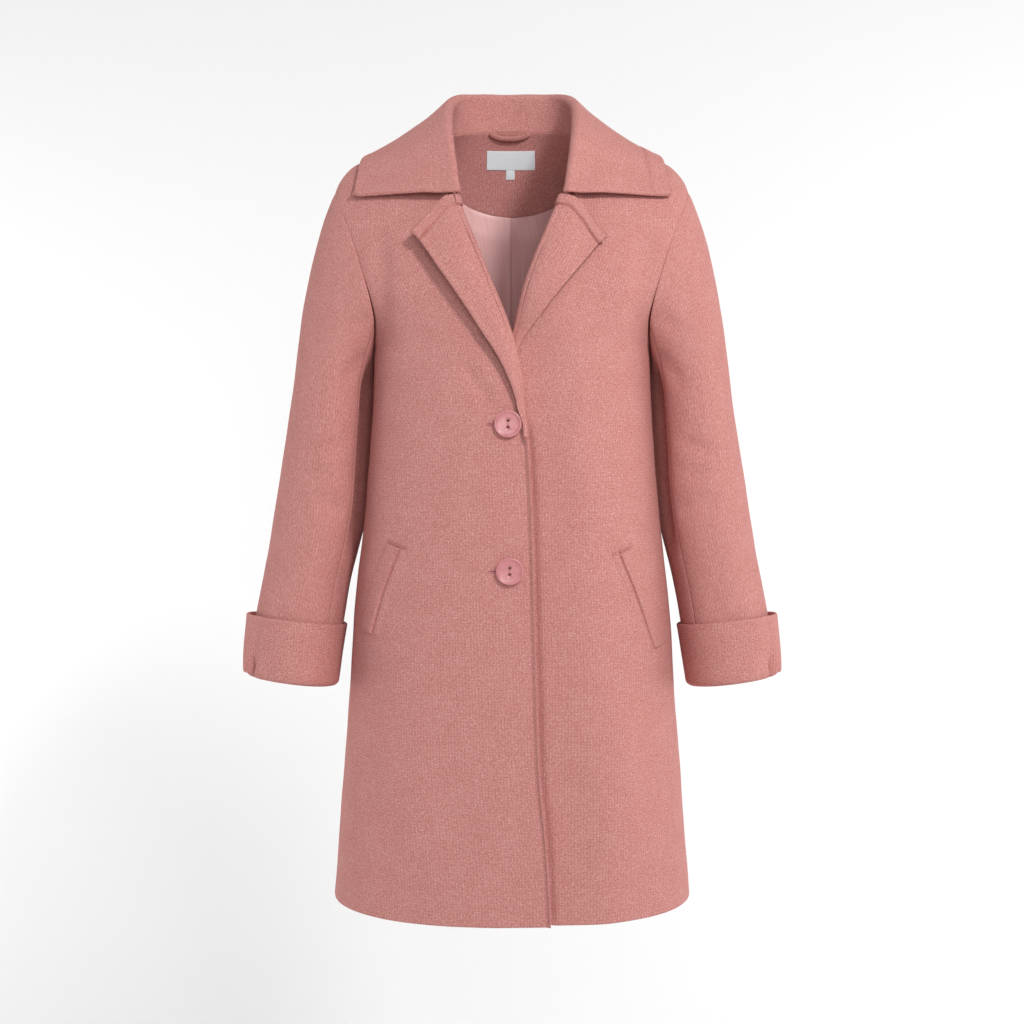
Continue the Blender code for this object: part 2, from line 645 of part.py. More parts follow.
# ---- Collar and lapels --------------------------------------------------------------------
COLLAR_BULGE = 0.065                        # how far the fall stands off the shoulder
COLLAR_EDGE_LIFT = 0.0015                   # its outer edge hovers this much more than a layer gap
COLLAR_CLEARANCE = 0.0030                   # and its mid line stays this far off the body
COLLAR_ROLL = 0.0060                        # mid-line radius of the fold, smaller at the front ends
NECK_STEP = 0.0032                          # the stand is set in this far from the neck edge
COLLAR_SHARES = np.array([0, 0.08, 0.16, 0.23, 0.30, 0.38, 0.46, 0.55, 0.64, 0.73, 0.82, 0.91, 1.0])


def seat_on_body(reach, angle):
    """A point and normal of the body at an angle over the shoulder line."""
    face, level = level_at_angle(angle)
    points, normals = body_frame(face, np.array([reach]), np.array([level]))
    return points[0], normals[0]


def clear_of_body(point, clearance):
    """The point, moved away from the chest's middle until it is this far off the body."""
    reach = min(abs(point[0]), 0.203)
    face = FRONT if point[1] < RIDGE_Y else BACK
    power = FRONT_ROLL_POWER if face == FRONT else BACK_ROLL_POWER
    rise = float(curve(SHOULDER, reach, "height")) - CHEST_HEIGHT
    level = min(max((point[2] - CHEST_HEIGHT) / rise, 0), 1)
    angle = section_angle(face, np.array([reach]), np.array([level]))
    edge = BODY[-1].front_depth if face == FRONT else BODY[-1].back_depth
    depth = edge * float(np.sin(angle[0]) ** (2 / SECTION_POWER)) + RIDGE_Y * (1 if face == FRONT else -1)
    out = np.array([point[1] - RIDGE_Y, max(point[2] - CHEST_HEIGHT, 0)])
    size = (abs(out[0] / depth) ** power + (out[1] / rise) ** power) ** (1 / power)
    run = np.linalg.norm(out)
    wanted = run / size + max(run - run / size, clearance)
    moved = point.copy()
    moved[1:] = np.array([RIDGE_Y, CHEST_HEIGHT]) + out * wanted / run
    return moved


def collar_edge(share):
    """Mid-wall point of the collar's outer edge, on a smooth line through the table's places."""
    points = []
    for row in COLLAR:
        point, normal = seat_on_body(row.edge_reach, row.edge_angle)
        points.append(point + normal * (LAYER_GAP + WALL / 2 + COLLAR_EDGE_LIFT))
    return through(np.array([row.share for row in COLLAR]), np.array(points), share)


def collar_section(share, ahead):
    """Mid-line of the collar across its fold, from the neck seam to its outer edge."""
    row = {column: float(curve(COLLAR, share, column)) for column in Collar._fields[1:]}
    neck, neck_normal = seat_on_body(row["neck_reach"], row["neck_angle"])
    neck = neck - neck_normal * WALL / 2
    edge = collar_edge(share)
    fold = np.array([row["fold_reach"], row["fold_y"], row["fold_height"]])
    tangent = unit(ahead)
    outdir = (edge - neck) * np.array([1, 1, 0])
    outdir = unit(outdir - tangent * np.dot(outdir, tangent))
    up = unit(np.cross(tangent, outdir))
    roll = COLLAR_ROLL + (ROLL_RADIUS - COLLAR_ROLL) * smooth_step((share - 0.7) / 0.3)
    centre = fold - up * roll
    stand_top = centre - outdir * roll
    neck = neck - outdir * NECK_STEP + unit(stand_top - neck) * (SEAM + LAYER_GAP)
    path = [neck, neck * 0.5 + stand_top * 0.5 + outdir * 0.001, stand_top]
    bulge = COLLAR_BULGE * 4 * share * (1 - share)
    fall = (edge - centre) * (0.5 + bulge * np.array([1, 1, -1]))
    end = math.atan2(np.dot(fall, outdir), np.dot(fall, up))
    for turn in np.linspace(0, end, 4)[1:]:
        start = centre - outdir * roll * math.cos(turn) + up * roll * math.sin(turn)
        path.append(start)
    path.pop()
    control = start + (edge - start) * (0.5 + bulge * np.array([1, 1, -1]))
    for t in (0.0, 0.16, 0.34, 0.54, 0.76, 1.0):
        point = start * (1 - t) ** 2 + control * 2 * t * (1 - t) + edge * t * t
        path.append(clear_of_body(point, COLLAR_CLEARANCE) if t > 0 else point)
    return np.array(path)


def fold_point(share):
    """A point of the collar's fold line. Shares below zero are on the other side."""
    places = [float(curve(COLLAR, abs(share), name)) for name in ("fold_reach", "fold_y", "fold_height")]
    return np.array([math.copysign(places[0], share), places[1], places[2]])


def build_collar():
    columns = []
    for share in COLLAR_SHARES:
        behind, before = np.clip([share - 0.03, share + 0.03], -1, 1)
        columns.append(collar_section(share, fold_point(before) - fold_point(behind)))
    left = np.array(columns).transpose(1, 0, 2)
    right = left[:, :0:-1] * np.array([-1, 1, 1])
    middle = np.concatenate([right, left], axis=1)
    normals = grid_normals(middle)
    return shell("collar", middle + normals * WALL / 2, middle - normals * WALL / 2, WOOL)


LAPEL_ROWS = 14
LAPEL_ACROSS = (0.0, 0.10, 0.24, 0.40, 0.60, 0.80, 1.0)


def build_lapel(side):
    """The piece that faces the front: a strip inside, the roll round the edge, and the lapel."""
    edge_table, lapel_table, notch = (
        (RIGHT_EDGE, RIGHT_LAPEL, RIGHT_NOTCH) if side == RIGHT else (LEFT_EDGE, LEFT_LAPEL, LEFT_NOTCH))
    start = roll_start(side)
    rows = []
    for share in np.linspace(0, 1, LAPEL_ROWS):
        height = start + share * (GORGE_HEIGHT - start)
        roll = np.array([float(curve(edge_table, height, "reach")), height])
        step = 0.004
        ahead = float(curve(edge_table, height + step, "reach") - curve(edge_table, height - step, "reach"))
        along = unit(np.array([ahead, 2 * step]))
        across = np.array([along[1], -along[0]])
        seat = roll + across * ROLL_REACH
        tip = np.array([float(curve(lapel_table, share, name)) for name in ("reach", "height")])
        inside = LAPEL_INSIDE * min(1, 0.25 + share * 3)
        places = [(seat + across * inside, -WALL / 2 - ROLL_RADIUS),
                  (seat + across * inside * 0.5, -WALL / 2 - ROLL_RADIUS)]
        for turn in np.radians([-90, -45, 0, 45]):
            places.append((seat - across * ROLL_RADIUS * math.cos(turn),
                           -WALL / 2 + ROLL_RADIUS * math.sin(turn)))
        width = float(np.linalg.norm(tip - seat))
        loft = min(LAPEL_LOFT, 0.10 * width)
        corner = (np.array(notch) - (seat + (tip - seat) * 0.16)) * smooth_step((share - 0.86) / 0.14)
        for t in LAPEL_ACROSS:
            bump = min(t / 0.16, (1 - t) / 0.84)
            places.append((seat + (tip - seat) * t + corner * bump,
                           -WALL / 2 + ROLL_RADIUS + loft * math.sin(math.pi * t ** 0.7) + 0.0015 * t))
        where = np.array([place for place, _ in places])
        out = np.array([lift for _, lift in places])
        rows.append(on_body(FRONT, side, where[:, 0], where[:, 1], out))
    middle = np.array(rows)
    normals = grid_normals(middle)
    name = "lapel_right" if side == RIGHT else "lapel_left"
    return shell(name, middle + normals * WALL / 2, middle - normals * WALL / 2, WOOL)


# ---- Inside the neck ----------------------------------------------------------------------
FACING_WALL = 0.0015
FACING_OUT = -(WALL + 0.0026)               # outer face of the neck facing
FacingEdge = namedtuple("FacingEdge", "reach height")
FACING_EDGE = (
    FacingEdge(0.000, -0.072),
    FacingEdge(0.030, -0.068),
    FacingEdge(0.060, -0.057),
    FacingEdge(0.085, -0.040),
)
FACING_REACHES = np.array([0.0, 0.0018, 0.00675, 0.015, 0.030, 0.045, 0.060, 0.074])
FACING_TOP_LEVEL = 0.90                     # it stays below the shoulder seams
FACING_TOP_STEP = 0.005                     # and below the neck seam, as a share of the yoke
LABEL_SIZE = (0.0605, 0.0215)
LABEL_TOP = 0.0054
LABEL_MIDDLE_X = -0.0015
TAB_MIDDLE_X = -0.0020
TAB_SIZE = (0.0108, 0.0106)
LABEL_WALL = 0.0004
TAB_STEP = 0.0005                           # gap between the label and the tab under it
LOOP_HALF_WIDTH = 0.026
LOOP_MIDDLE_X = -0.003
LOOP_TOP = 0.0235
LOOP_DROOP = 0.0055
LOOP_STRAND = (0.0030, 0.0012)              # half height and half thickness
LOOP_STAND_OFF = 0.0017                     # its ends clear the facing by this much,
LOOP_BOW = 0.003                            # and its middle by this much more
PLEAT_DEPTH = 0.006
PLEAT_SHARE = 0.05                          # half width of the pleat, as a share of the lining's
LINING_GAP = 0.0030
LINING_TOP_REACH = 0.150                    # the lining narrows to this above the chest
LINING_TOP_STEP = 0.0005                    # and is sewn this far below the facing's edge


def facing_low(reach):
    table = np.array(FACING_EDGE)
    return np.interp(np.abs(reach), table[:, 0], table[:, 1])


def build_neck_facing():
    """The band of wool inside the back neck, from the neck seam to a curved lower edge."""
    reaches = np.concatenate([-FACING_REACHES[:0:-1], FACING_REACHES])
    top = np.minimum(neck_level(np.abs(reaches)) - FACING_TOP_STEP, FACING_TOP_LEVEL)
    bottom = level_at(reaches, facing_low(reaches))
    shares = np.linspace(0, 1, 7)[:, None]
    levels = bottom * (1 - shares) + top * shares
    points, normals = body_frame(BACK, np.repeat(reaches[None], 7, axis=0), levels)
    outer = points + normals * FACING_OUT
    return shell("neck_facing", outer, outer - normals * FACING_WALL, WOOL)


LINING_SHARES = np.concatenate([FACING_REACHES / LINING_TOP_REACH, [0.62, 0.76, 0.88, 0.94]])
LINING_HEIGHTS = (-0.845, -0.77, -0.69, -0.61, -0.53, -0.45, -0.37, -0.30, -0.245)


def build_lining():
    """The back lining, from above the hem to the neck facing, with a pleat down its middle."""
    share = np.concatenate([-LINING_SHARES[:0:-1], LINING_SHARES])
    lower = [(height - CHEST_HEIGHT) / YOKE_DEPTH for height in LINING_HEIGHTS]
    rows = []
    for level in lower:
        rows.append((share * half_width(BACK, np.array(level)), np.full(share.shape, level)))
    reach_up = share * LINING_TOP_REACH
    under_facing = facing_low(np.minimum(np.abs(reach_up), FACING_REACHES[-1]))
    end = level_at(reach_up, under_facing - LINING_TOP_STEP)
    for t in (0.15, 0.35, 0.6, 0.8, 1.0):
        rows.append((reach_up, end * t))
    reaches = np.array([row[0] for row in rows])
    levels = np.array([row[1] for row in rows])
    points, normals = body_frame(BACK, reaches, levels)
    fold = np.where((share > 0) & (share < PLEAT_SHARE), 1.0, 0.0)
    fold[share == 0] = 0.5
    loose = np.ones((len(rows), 1))
    loose[-1] = 0
    out = FACING_OUT - LINING_TOP_STEP - loose * (LINING_GAP + PLEAT_DEPTH * fold)
    outer = points + normals * out[..., None]
    return shell("back_lining", outer, outer - normals * LINING, SATIN)


def patch_inside(name, middle_x, width, top, height, out, finish):
    """A small flat cloth patch that lies on the neck facing."""
    heights = top - np.linspace(0, 1, 3)[:, None] * height
    reaches = middle_x + np.linspace(-0.5, 0.5, 5) * width + 0 * heights
    points, normals = body_frame(BACK, reaches, level_at(reaches, heights))
    outer = points + normals * out
    return shell(name, outer, outer - normals * LABEL_WALL, finish)


def build_labels():
    face = FACING_OUT - FACING_WALL - LABEL_WALL
    patch_inside("neck_label", LABEL_MIDDLE_X, LABEL_SIZE[0], LABEL_TOP, LABEL_SIZE[1], face, WOVEN)
    tab_top = LABEL_TOP - LABEL_SIZE[1] - TAB_STEP
    patch_inside("size_tab", TAB_MIDDLE_X, TAB_SIZE[0], tab_top, TAB_SIZE[1], face, WOVEN)


def build_hanger_loop():
    """A narrow stitched strip that droops between its two ends at the back neck seam."""
    path = []
    for t in np.linspace(-1, 1, 15):
        reach = np.array([t * LOOP_HALF_WIDTH + LOOP_MIDDLE_X])
        height = LOOP_TOP - LOOP_DROOP * (1 - abs(t) ** 3)
        points, normals = body_frame(BACK, reach, level_at(reach, height))
        stand_off = FACING_WALL - FACING_OUT + LOOP_STAND_OFF + LOOP_BOW * (1 - t * t)
        path.append((points[0] - normals[0] * stand_off, normals[0]))
    rings = []
    middle = np.array([point for point, _ in path])
    ahead = unit(np.gradient(middle, axis=0))
    for (point, normal), tangent in zip(path, ahead):
        side = unit(np.cross(tangent, normal))
        turns = np.arange(8) * math.pi / 4
        rings.append(point + np.outer(np.cos(turns) * LOOP_STRAND[0], side)
                     + np.outer(np.sin(turns) * LOOP_STRAND[1], normal))
    return tube("hanger_loop", np.array(rings), WOOL)


def tube(name, rings, finish):
    """A solid bar from rings of points, with flat ends."""
    count, sides = rings.shape[:2]
    faces = []
    for ring in range(count - 1):
        for side in range(sides):
            following = (side + 1) % sides
            faces.append((ring * sides + side, ring * sides + following,
                          (ring + 1) * sides + following, (ring + 1) * sides + side))
    faces.append(tuple(range(sides)))
    faces.append(tuple((count - 1) * sides + side for side in range(sides)))
    return add_object(name, rings.reshape(-1, 3), faces, finish)


# ---- Pockets and buttons ------------------------------------------------------------------
def build_pocket(side):
    """A slanted welt that lies on the front."""
    table = RIGHT_POCKET if side == RIGHT else LEFT_POCKET
    shares = np.linspace(0, 1, 9)
    middle = np.stack([curve(table, shares, "reach"), curve(table, shares, "height")], axis=-1)
    along = unit(np.gradient(middle, axis=0))
    across = np.stack([-along[:, 1], along[:, 0]], axis=-1)
    places = middle[:, None] + across[:, None] * (np.linspace(-0.5, 0.5, 4) * POCKET_WIDTH)[None, :, None]
    outer = on_body(FRONT, side, places[..., 0], places[..., 1], SEAM + POCKET_THICKNESS)
    inner = on_body(FRONT, side, places[..., 0], places[..., 1], SEAM)
    return shell("pocket_welt_right" if side == RIGHT else "pocket_welt_left", outer, inner, WOOL)


BUTTON_PROFILE = (
    # radius share, height share
    (0.00, 0.00), (0.86, 0.00), (0.97, 0.22), (1.00, 0.50), (0.97, 0.85), (0.90, 1.00),
    (0.80, 0.92), (0.72, 0.70), (0.00, 0.66))
BUTTON_SIDES = 28
BUTTON_LIFT = 0.0009                        # air under a button
DRILL_SIDES = 12


def build_button(name, reach, height):
    """A turned disc with a raised rim and two holes, sewn flat on the right front."""
    mesh = bpy.data.meshes.new(name)
    turned = bmesh.new()
    chain = [turned.verts.new((share * BUTTON_RADIUS, 0, rise * BUTTON_THICKNESS))
             for share, rise in BUTTON_PROFILE]
    edges = [turned.edges.new(pair) for pair in zip(chain[:-1], chain[1:])]
    bmesh.ops.spin(turned, geom=chain + edges, cent=(0, 0, 0), axis=(0, 0, 1),
                   angle=2 * math.pi, steps=BUTTON_SIDES, use_merge=True)
    bmesh.ops.remove_doubles(turned, verts=turned.verts, dist=1e-6)
    bmesh.ops.recalc_face_normals(turned, faces=turned.faces)
    turned.to_mesh(mesh)
    turned.free()
    mesh.shade_smooth()
    mesh.set_sharp_from_angle(angle=math.radians(35))
    mesh.materials.append(material(*RESIN))
    button = bpy.data.objects.new(name, mesh)
    bpy.context.collection.objects.link(button)
    seat = on_body(FRONT, RIGHT, reach, height, BUTTON_LIFT)
    above = on_body(FRONT, RIGHT, reach, height, BUTTON_LIFT + BUTTON_RADIUS)
    forward = Vector(unit(above - seat))
    turn = forward.to_track_quat("Z", "Y").to_matrix().to_4x4()
    button.matrix_world = Matrix.Translation(Vector(seat)) @ turn
    for sign in (-1, 1):
        drill = bpy.data.meshes.new(name + "_drill")
        cut = bmesh.new()
        bmesh.ops.create_cone(cut, cap_ends=True, segments=DRILL_SIDES, radius1=BUTTON_HOLE_RADIUS,
                              radius2=BUTTON_HOLE_RADIUS, depth=4 * BUTTON_THICKNESS)
        cut.to_mesh(drill)
        cut.free()
        cutter = bpy.data.objects.new(name + "_drill", drill)
        bpy.context.collection.objects.link(cutter)
        offset = Vector((0, sign * BUTTON_HOLE_SPACING / 2, 0))
        cutter.matrix_world = button.matrix_world @ Matrix.Translation(offset)
        cutter.hide_render = True
        cutter.display_type = "WIRE"
        hole = button.modifiers.new("hole", "BOOLEAN")
        hole.operation = "DIFFERENCE"
        hole.object = cutter
    return button


# ---- The coat -----------------------------------------------------------------------------
def build_coat():
    for existing in list(bpy.data.objects):
        bpy.data.objects.remove(existing, do_unlink=True)
    sleeve, body_normals = sleeve_grid()
    normals = outward_normals(sleeve)
    shared = shared_directions(normals, body_normals)
    front_shared = shared[:ARMHOLE_STEPS + 1]
    back_shared = np.concatenate([shared[:1], shared[:ARMHOLE_STEPS - 1:-1]])
    for side in (RIGHT, LEFT):
        build_front(side, front_shared)
    build_back(back_shared)
    for side in (RIGHT, LEFT):
        build_sleeve(side, sleeve, normals, shared)
        build_cuff(side)
    build_collar()
    for side in (RIGHT, LEFT):
        build_lapel(side)
        build_pocket(side)
    build_neck_facing()
    build_lining()
    build_labels()
    build_hanger_loop()
    for name, place in BUTTONS.items():
        build_button(name, *place)


build_coat()
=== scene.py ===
# %% [markdown]
# A knee-length wool coat, dressed on its frame.
# The coat hangs as if somebody invisible wore it: hollow, open at the neck, the hem and the cuffs.
# This lesson makes every cut piece again as soft cloth with rounded edges, creases and stitching,
# in the same places as the plain solids of the frame, and then lights it like a catalogue picture.

# %% Open the frame
import math
from collections import namedtuple

import bmesh
import bpy
import numpy as np
from mathutils import Matrix, Vector


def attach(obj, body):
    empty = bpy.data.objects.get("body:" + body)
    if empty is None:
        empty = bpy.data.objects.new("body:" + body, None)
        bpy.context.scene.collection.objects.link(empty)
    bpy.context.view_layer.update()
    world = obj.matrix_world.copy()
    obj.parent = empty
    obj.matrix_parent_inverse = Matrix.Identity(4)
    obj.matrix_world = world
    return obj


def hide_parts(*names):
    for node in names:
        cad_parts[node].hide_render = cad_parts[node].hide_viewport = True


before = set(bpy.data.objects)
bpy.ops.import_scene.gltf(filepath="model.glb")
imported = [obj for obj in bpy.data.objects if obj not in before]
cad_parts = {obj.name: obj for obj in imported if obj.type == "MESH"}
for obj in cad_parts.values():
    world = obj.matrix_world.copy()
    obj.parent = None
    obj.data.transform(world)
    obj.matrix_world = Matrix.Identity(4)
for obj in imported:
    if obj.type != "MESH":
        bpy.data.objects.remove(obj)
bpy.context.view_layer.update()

# %% [markdown]
# A pattern cutter works from a few measures and a table of widths at set heights.
# The same measures shape the solids, so the cloth made from them lies within a few
# millimetres of the solids.
# Everything is in metres: x runs to the wearer's left, y to the wearer's back, z up.
# A "reach" is a distance from the centre plane towards the side that is being made.

# %% The coat's measures
FRONT, BACK = -1, 1
RIGHT, LEFT = -1, 1
SIDE_WORD = {RIGHT: "right", LEFT: "left"}
WALL = 0.003                # boiled wool with its fusing
LAYER_GAP = 0.0010          # air between two layers that lie on each other
CHEST_HEIGHT = -0.245
YOKE_DEPTH = 0.238          # from the chest up to the shoulder line
HEM_DIP = {FRONT: 0.0086, BACK: 0.004}     # the hem hangs lower in the middle
HEM_DIP_POWER = 1.2
HEM_DIP_START = -0.60
HEM_DIP_RUN = 0.26
RIDGE_Y = 0.006             # the shoulder seams lie a little behind the neck's middle
SECTION_POWER = 2.3         # the body's level sections are superellipses
ROLL_POWER = {FRONT: 1.75, BACK: 2.3}      # how squarely each face rolls to the shoulder
ARMHOLE_DEPTH = {FRONT: 0.66, BACK: 0.70}
ARMHOLE_ROUND = 0.36
EDGE_ROLL = 0.0020          # the front edge stands this proud
EDGE_ROLL_WIDTH = 0.005
EDGE_ROLL_TOP = -0.325
EDGE_ROLL_RUN = 0.030
ROLL_RADIUS = WALL + LAYER_GAP
ROLL_REACH = ROLL_RADIUS + WALL / 2
ROLL_SLACK = 0.0014
ROLL_EASE = 0.020
LAP_STEP = 2 * (WALL + LAYER_GAP)
LAP_MARGIN = 0.006
LAP_FADE = 0.060
LAP_TOP = -0.168
LAP_RUN = 0.078
FACING_WIDTH = 0.040
FACING_FADE = 0.020
ROLL_START = {RIGHT: -0.322, LEFT: -0.232}     # where each lapel begins to roll
GORGE_HEIGHT = -0.0815
GORGE_EASE = 0.030
NECK_CUT = 0.0665
NECK_CUT_BELOW = -0.1035
NECK_CUT_EASE = 0.010
LAPEL_INSIDE = 0.016
LAPEL_LOFT = 0.004
print("wall", WALL, "m, lap step", LAP_STEP, "m")

# %% Tables of the body


def table_of(kind, *rows):
    """Rows of measures, each with its columns named."""
    return [kind(*row) for row in rows]


Section = namedtuple("Section", "height half_width front_depth back_depth")
BODY = table_of(
    Section,
    (-0.865, 0.2030, 0.152, 0.150), (-0.739, 0.1940, 0.149, 0.142), (-0.629, 0.1860, 0.145, 0.134),
    (-0.535, 0.1800, 0.141, 0.126), (-0.443, 0.1700, 0.138, 0.120), (-0.355, 0.1625, 0.136, 0.119),
    (-0.290, 0.1590, 0.133, 0.122), (-0.245, 0.1580, 0.129, 0.124))
DEPTH_COLUMN = {FRONT: "front_depth", BACK: "back_depth"}
Ridge = namedtuple("Ridge", "reach height")
SHOULDER = table_of(
    Ridge,
    (0.000, 0.0728), (0.030, 0.0640), (0.055, 0.0400), (0.070, 0.0180), (0.077, 0.0080),
    (0.100, -0.0010), (0.124, -0.0095), (0.147, -0.0180), (0.169, -0.0250), (0.182, -0.0310),
    (0.192, -0.0405), (0.199, -0.0505), (0.2045, -0.0630))
Armhole = namedtuple("Armhole", "share reach")
ARMHOLE = table_of(
    Armhole,
    (0.00, 0.1580), (0.06, 0.1545), (0.12, 0.1535), (0.22, 0.1570), (0.32, 0.1630), (0.46, 0.1720),
    (0.62, 0.1830), (0.78, 0.1940), (1.00, 0.2045))
FrontEdge = namedtuple("FrontEdge", "height reach")
RIGHT_EDGE = table_of(
    FrontEdge,
    (-0.874, -0.0427), (-0.820, -0.0401), (-0.770, -0.0365), (-0.720, -0.0313), (-0.621, -0.0275),
    (-0.528, -0.0251), (-0.409, -0.0215), (-0.337, -0.0166), (-0.289, -0.0107), (-0.258, -0.0036),
    (-0.231, 0.0040), (-0.166, 0.0280), (-0.084, 0.0580), (-0.040, 0.0695), (0.008, 0.0770))
LEFT_EDGE = table_of(
    FrontEdge,
    (-0.874, -0.0270), (-0.620, -0.0270), (-0.337, -0.0250), (-0.289, -0.0170), (-0.231, 0.0010),
    (-0.159, 0.0218), (-0.084, 0.0520), (-0.040, 0.0695), (0.008, 0.0770))
EDGE = {RIGHT: RIGHT_EDGE, LEFT: LEFT_EDGE}
print("body sections:", len(BODY), "shoulder points:", len(SHOULDER))

# %% Tables of the sleeves, collar, lapels and pockets
Tube = namedtuple("Tube", "height inner outer middle_y half_depth")
SLEEVE = table_of(
    Tube,
    (-0.301, 0.1597, 0.2545, 0.012, 0.0750), (-0.355, 0.1630, 0.2625, 0.010, 0.0715),
    (-0.446, 0.1708, 0.2760, 0.003, 0.0660), (-0.475, 0.1775, 0.2802, 0.000, 0.0645),
    (-0.497, 0.1830, 0.2840, -0.003, 0.0630), (-0.550, 0.1925, 0.2930, -0.011, 0.0605),
    (-0.621, 0.2010, 0.2995, -0.022, 0.0575))
Collar = namedtuple(
    "Collar", "share neck_reach neck_angle fold_reach fold_y fold_height edge_reach edge_angle")
COLLAR = table_of(
    Collar,
    (0.00, 0.0000, 124.3, 0.0000, 0.0790, 0.0684, 0.0000, 140.4),
    (0.16, 0.0280, 122.3, 0.0430, 0.0730, 0.0672, 0.0600, 132.0),
    (0.30, 0.0500, 115.8, 0.0610, 0.0560, 0.0630, 0.1140, 115.6),
    (0.46, 0.0700, 102.3, 0.0720, 0.0300, 0.0510, 0.1480, 102.0),
    (0.64, 0.0770, 84.0, 0.0752, -0.0110, 0.0290, 0.1650, 90.0),
    (0.82, 0.0720, 61.0, 0.0726, -0.0610, -0.0110, 0.1720, 71.0),
    (1.00, 0.0640, 38.5, 0.0620, -0.1020, -0.0795, 0.1750, 51.5))
LapelEdge = namedtuple("LapelEdge", "share reach height")
RIGHT_LAPEL = table_of(
    LapelEdge,
    (-0.11, -0.0152, -0.3530), (0.00, -0.0065, -0.3230), (0.13, -0.0020, -0.3020),
    (0.27, 0.0080, -0.2755), (0.48, 0.0335, -0.2316), (0.70, 0.0619, -0.1867),
    (1.00, 0.1052, -0.1285))
LEFT_LAPEL = table_of(
    LapelEdge,
    (-0.22, -0.0060, -0.2790), (0.00, 0.0100, -0.2460), (0.22, 0.0290, -0.2190),
    (0.52, 0.0560, -0.1830), (1.00, 0.0998, -0.1330))
Notch = namedtuple("Notch", "reach height")
NOTCH = {RIGHT: Notch(0.0700, -0.0865), LEFT: Notch(0.0660, -0.0880)}
Pocket = namedtuple("Pocket", "share reach height")
RIGHT_POCKET = table_of(
    Pocket,
    (0.0, 0.1280, -0.4640), (0.5, 0.1465, -0.5100), (1.0, 0.1620, -0.5620))
LEFT_POCKET = table_of(
    Pocket,
    (0.0, 0.1225, -0.4700), (0.5, 0.1430, -0.5200), (1.0, 0.1640, -0.5780))
LAPEL = {RIGHT: RIGHT_LAPEL, LEFT: LEFT_LAPEL}
POCKET = {RIGHT: RIGHT_POCKET, LEFT: LEFT_POCKET}
print("collar rows:", len(COLLAR), "sleeve rows:", len(SLEEVE))

# %% [markdown]
# A table holds a few measures, and the cloth needs hundreds of points, so smooth curves run through
# the tables. A piecewise cubic with slopes taken from its neighbours keeps every measure exactly and
# never makes a corner between them.

# %% Smooth curves through a table


def through(knots, values, place):
    slopes = np.gradient(values, knots, axis=0)
    at = np.clip(place, knots[0], knots[-1])
    left = np.clip(np.searchsorted(knots, at, side="right") - 1, 0, len(knots) - 2)
    span = knots[left + 1] - knots[left]
    t = (at - knots[left]) / span
    start = values[left] * (1 + 2 * t) * (1 - t) ** 2 + slopes[left] * span * t * (1 - t) ** 2
    end = values[left + 1] * t * t * (3 - 2 * t) - slopes[left + 1] * span * t * t * (1 - t)
    return start + end


def curve(table, place, column):
    knots = np.array([row[0] for row in table])
    return through(knots, np.array([getattr(row, column) for row in table]), place)


def signed_power(value, power):
    return np.sign(value) * np.abs(value) ** power


def smooth_step(value):
    t = np.clip(value, 0, 1)
    return t * t * (3 - 2 * t)


def hump(value):
    """1 at 0 and soft on both sides."""
    return np.exp(-np.square(value))


def unit(vectors):
    return vectors / np.maximum(np.linalg.norm(vectors, axis=-1, keepdims=True), 1e-12)


print("half width at the hem:", float(curve(BODY, -0.865, "half_width")))

# %% [markdown]
# The body of the coat is one surface. Below the chest its sections are rounded boxes, and above it
# they close towards the shoulder line while the armholes bite into their sides.
# A place on it is a face (front or back), a reach and a level: 0 at the chest, 1 on the shoulder.

# %% The body's surface
SMALL_STEP = 0.004          # for slopes, in radians and in levels
CENTRE_DROP = 0.02          # the point that normals face away from lies this far down


def armhole_depth(face, level):
    rise = 1 - np.clip(level / ARMHOLE_ROUND, 0, 1)
    return ARMHOLE_DEPTH[face] * np.sqrt(np.clip(1 - rise ** 2, 0, 1))


def half_width(face, level):
    below = curve(BODY, CHEST_HEIGHT + np.minimum(level, 0) * YOKE_DEPTH, "half_width")
    kept = (1 - armhole_depth(face, level) ** SECTION_POWER) ** (1 / SECTION_POWER)
    above = curve(ARMHOLE, np.clip(level, 0, 1), "reach") / kept
    return np.where(level > 0, above, below)


def surface(face, angle, level):
    share = np.clip(level, 0, 1)
    height = CHEST_HEIGHT + np.minimum(level, 0) * YOKE_DEPTH
    depth = curve(BODY, height, DEPTH_COLUMN[face])
    across = half_width(face, level) * signed_power(np.cos(angle), 2 / SECTION_POWER)
    forward = signed_power(np.sin(angle), 2 / SECTION_POWER)
    power = ROLL_POWER[face]
    roll = (1 - share ** power) ** (1 / power)
    y = face * depth * forward
    y = np.where(level > 0, RIDGE_Y + (y - RIDGE_Y) * roll, y)
    ridge = curve(SHOULDER, np.abs(across), "height")
    low = smooth_step((HEM_DIP_START - height) / HEM_DIP_RUN)
    sag = HEM_DIP[face] * np.abs(forward) ** HEM_DIP_POWER * low
    z = height + share * (ridge - CHEST_HEIGHT) - sag
    return np.stack(np.broadcast_arrays(across, y, z), axis=-1)


def section_angle(face, reach, level):
    share = np.clip(reach / half_width(face, level), -1, 1)
    return np.arccos(signed_power(share, SECTION_POWER / 2))


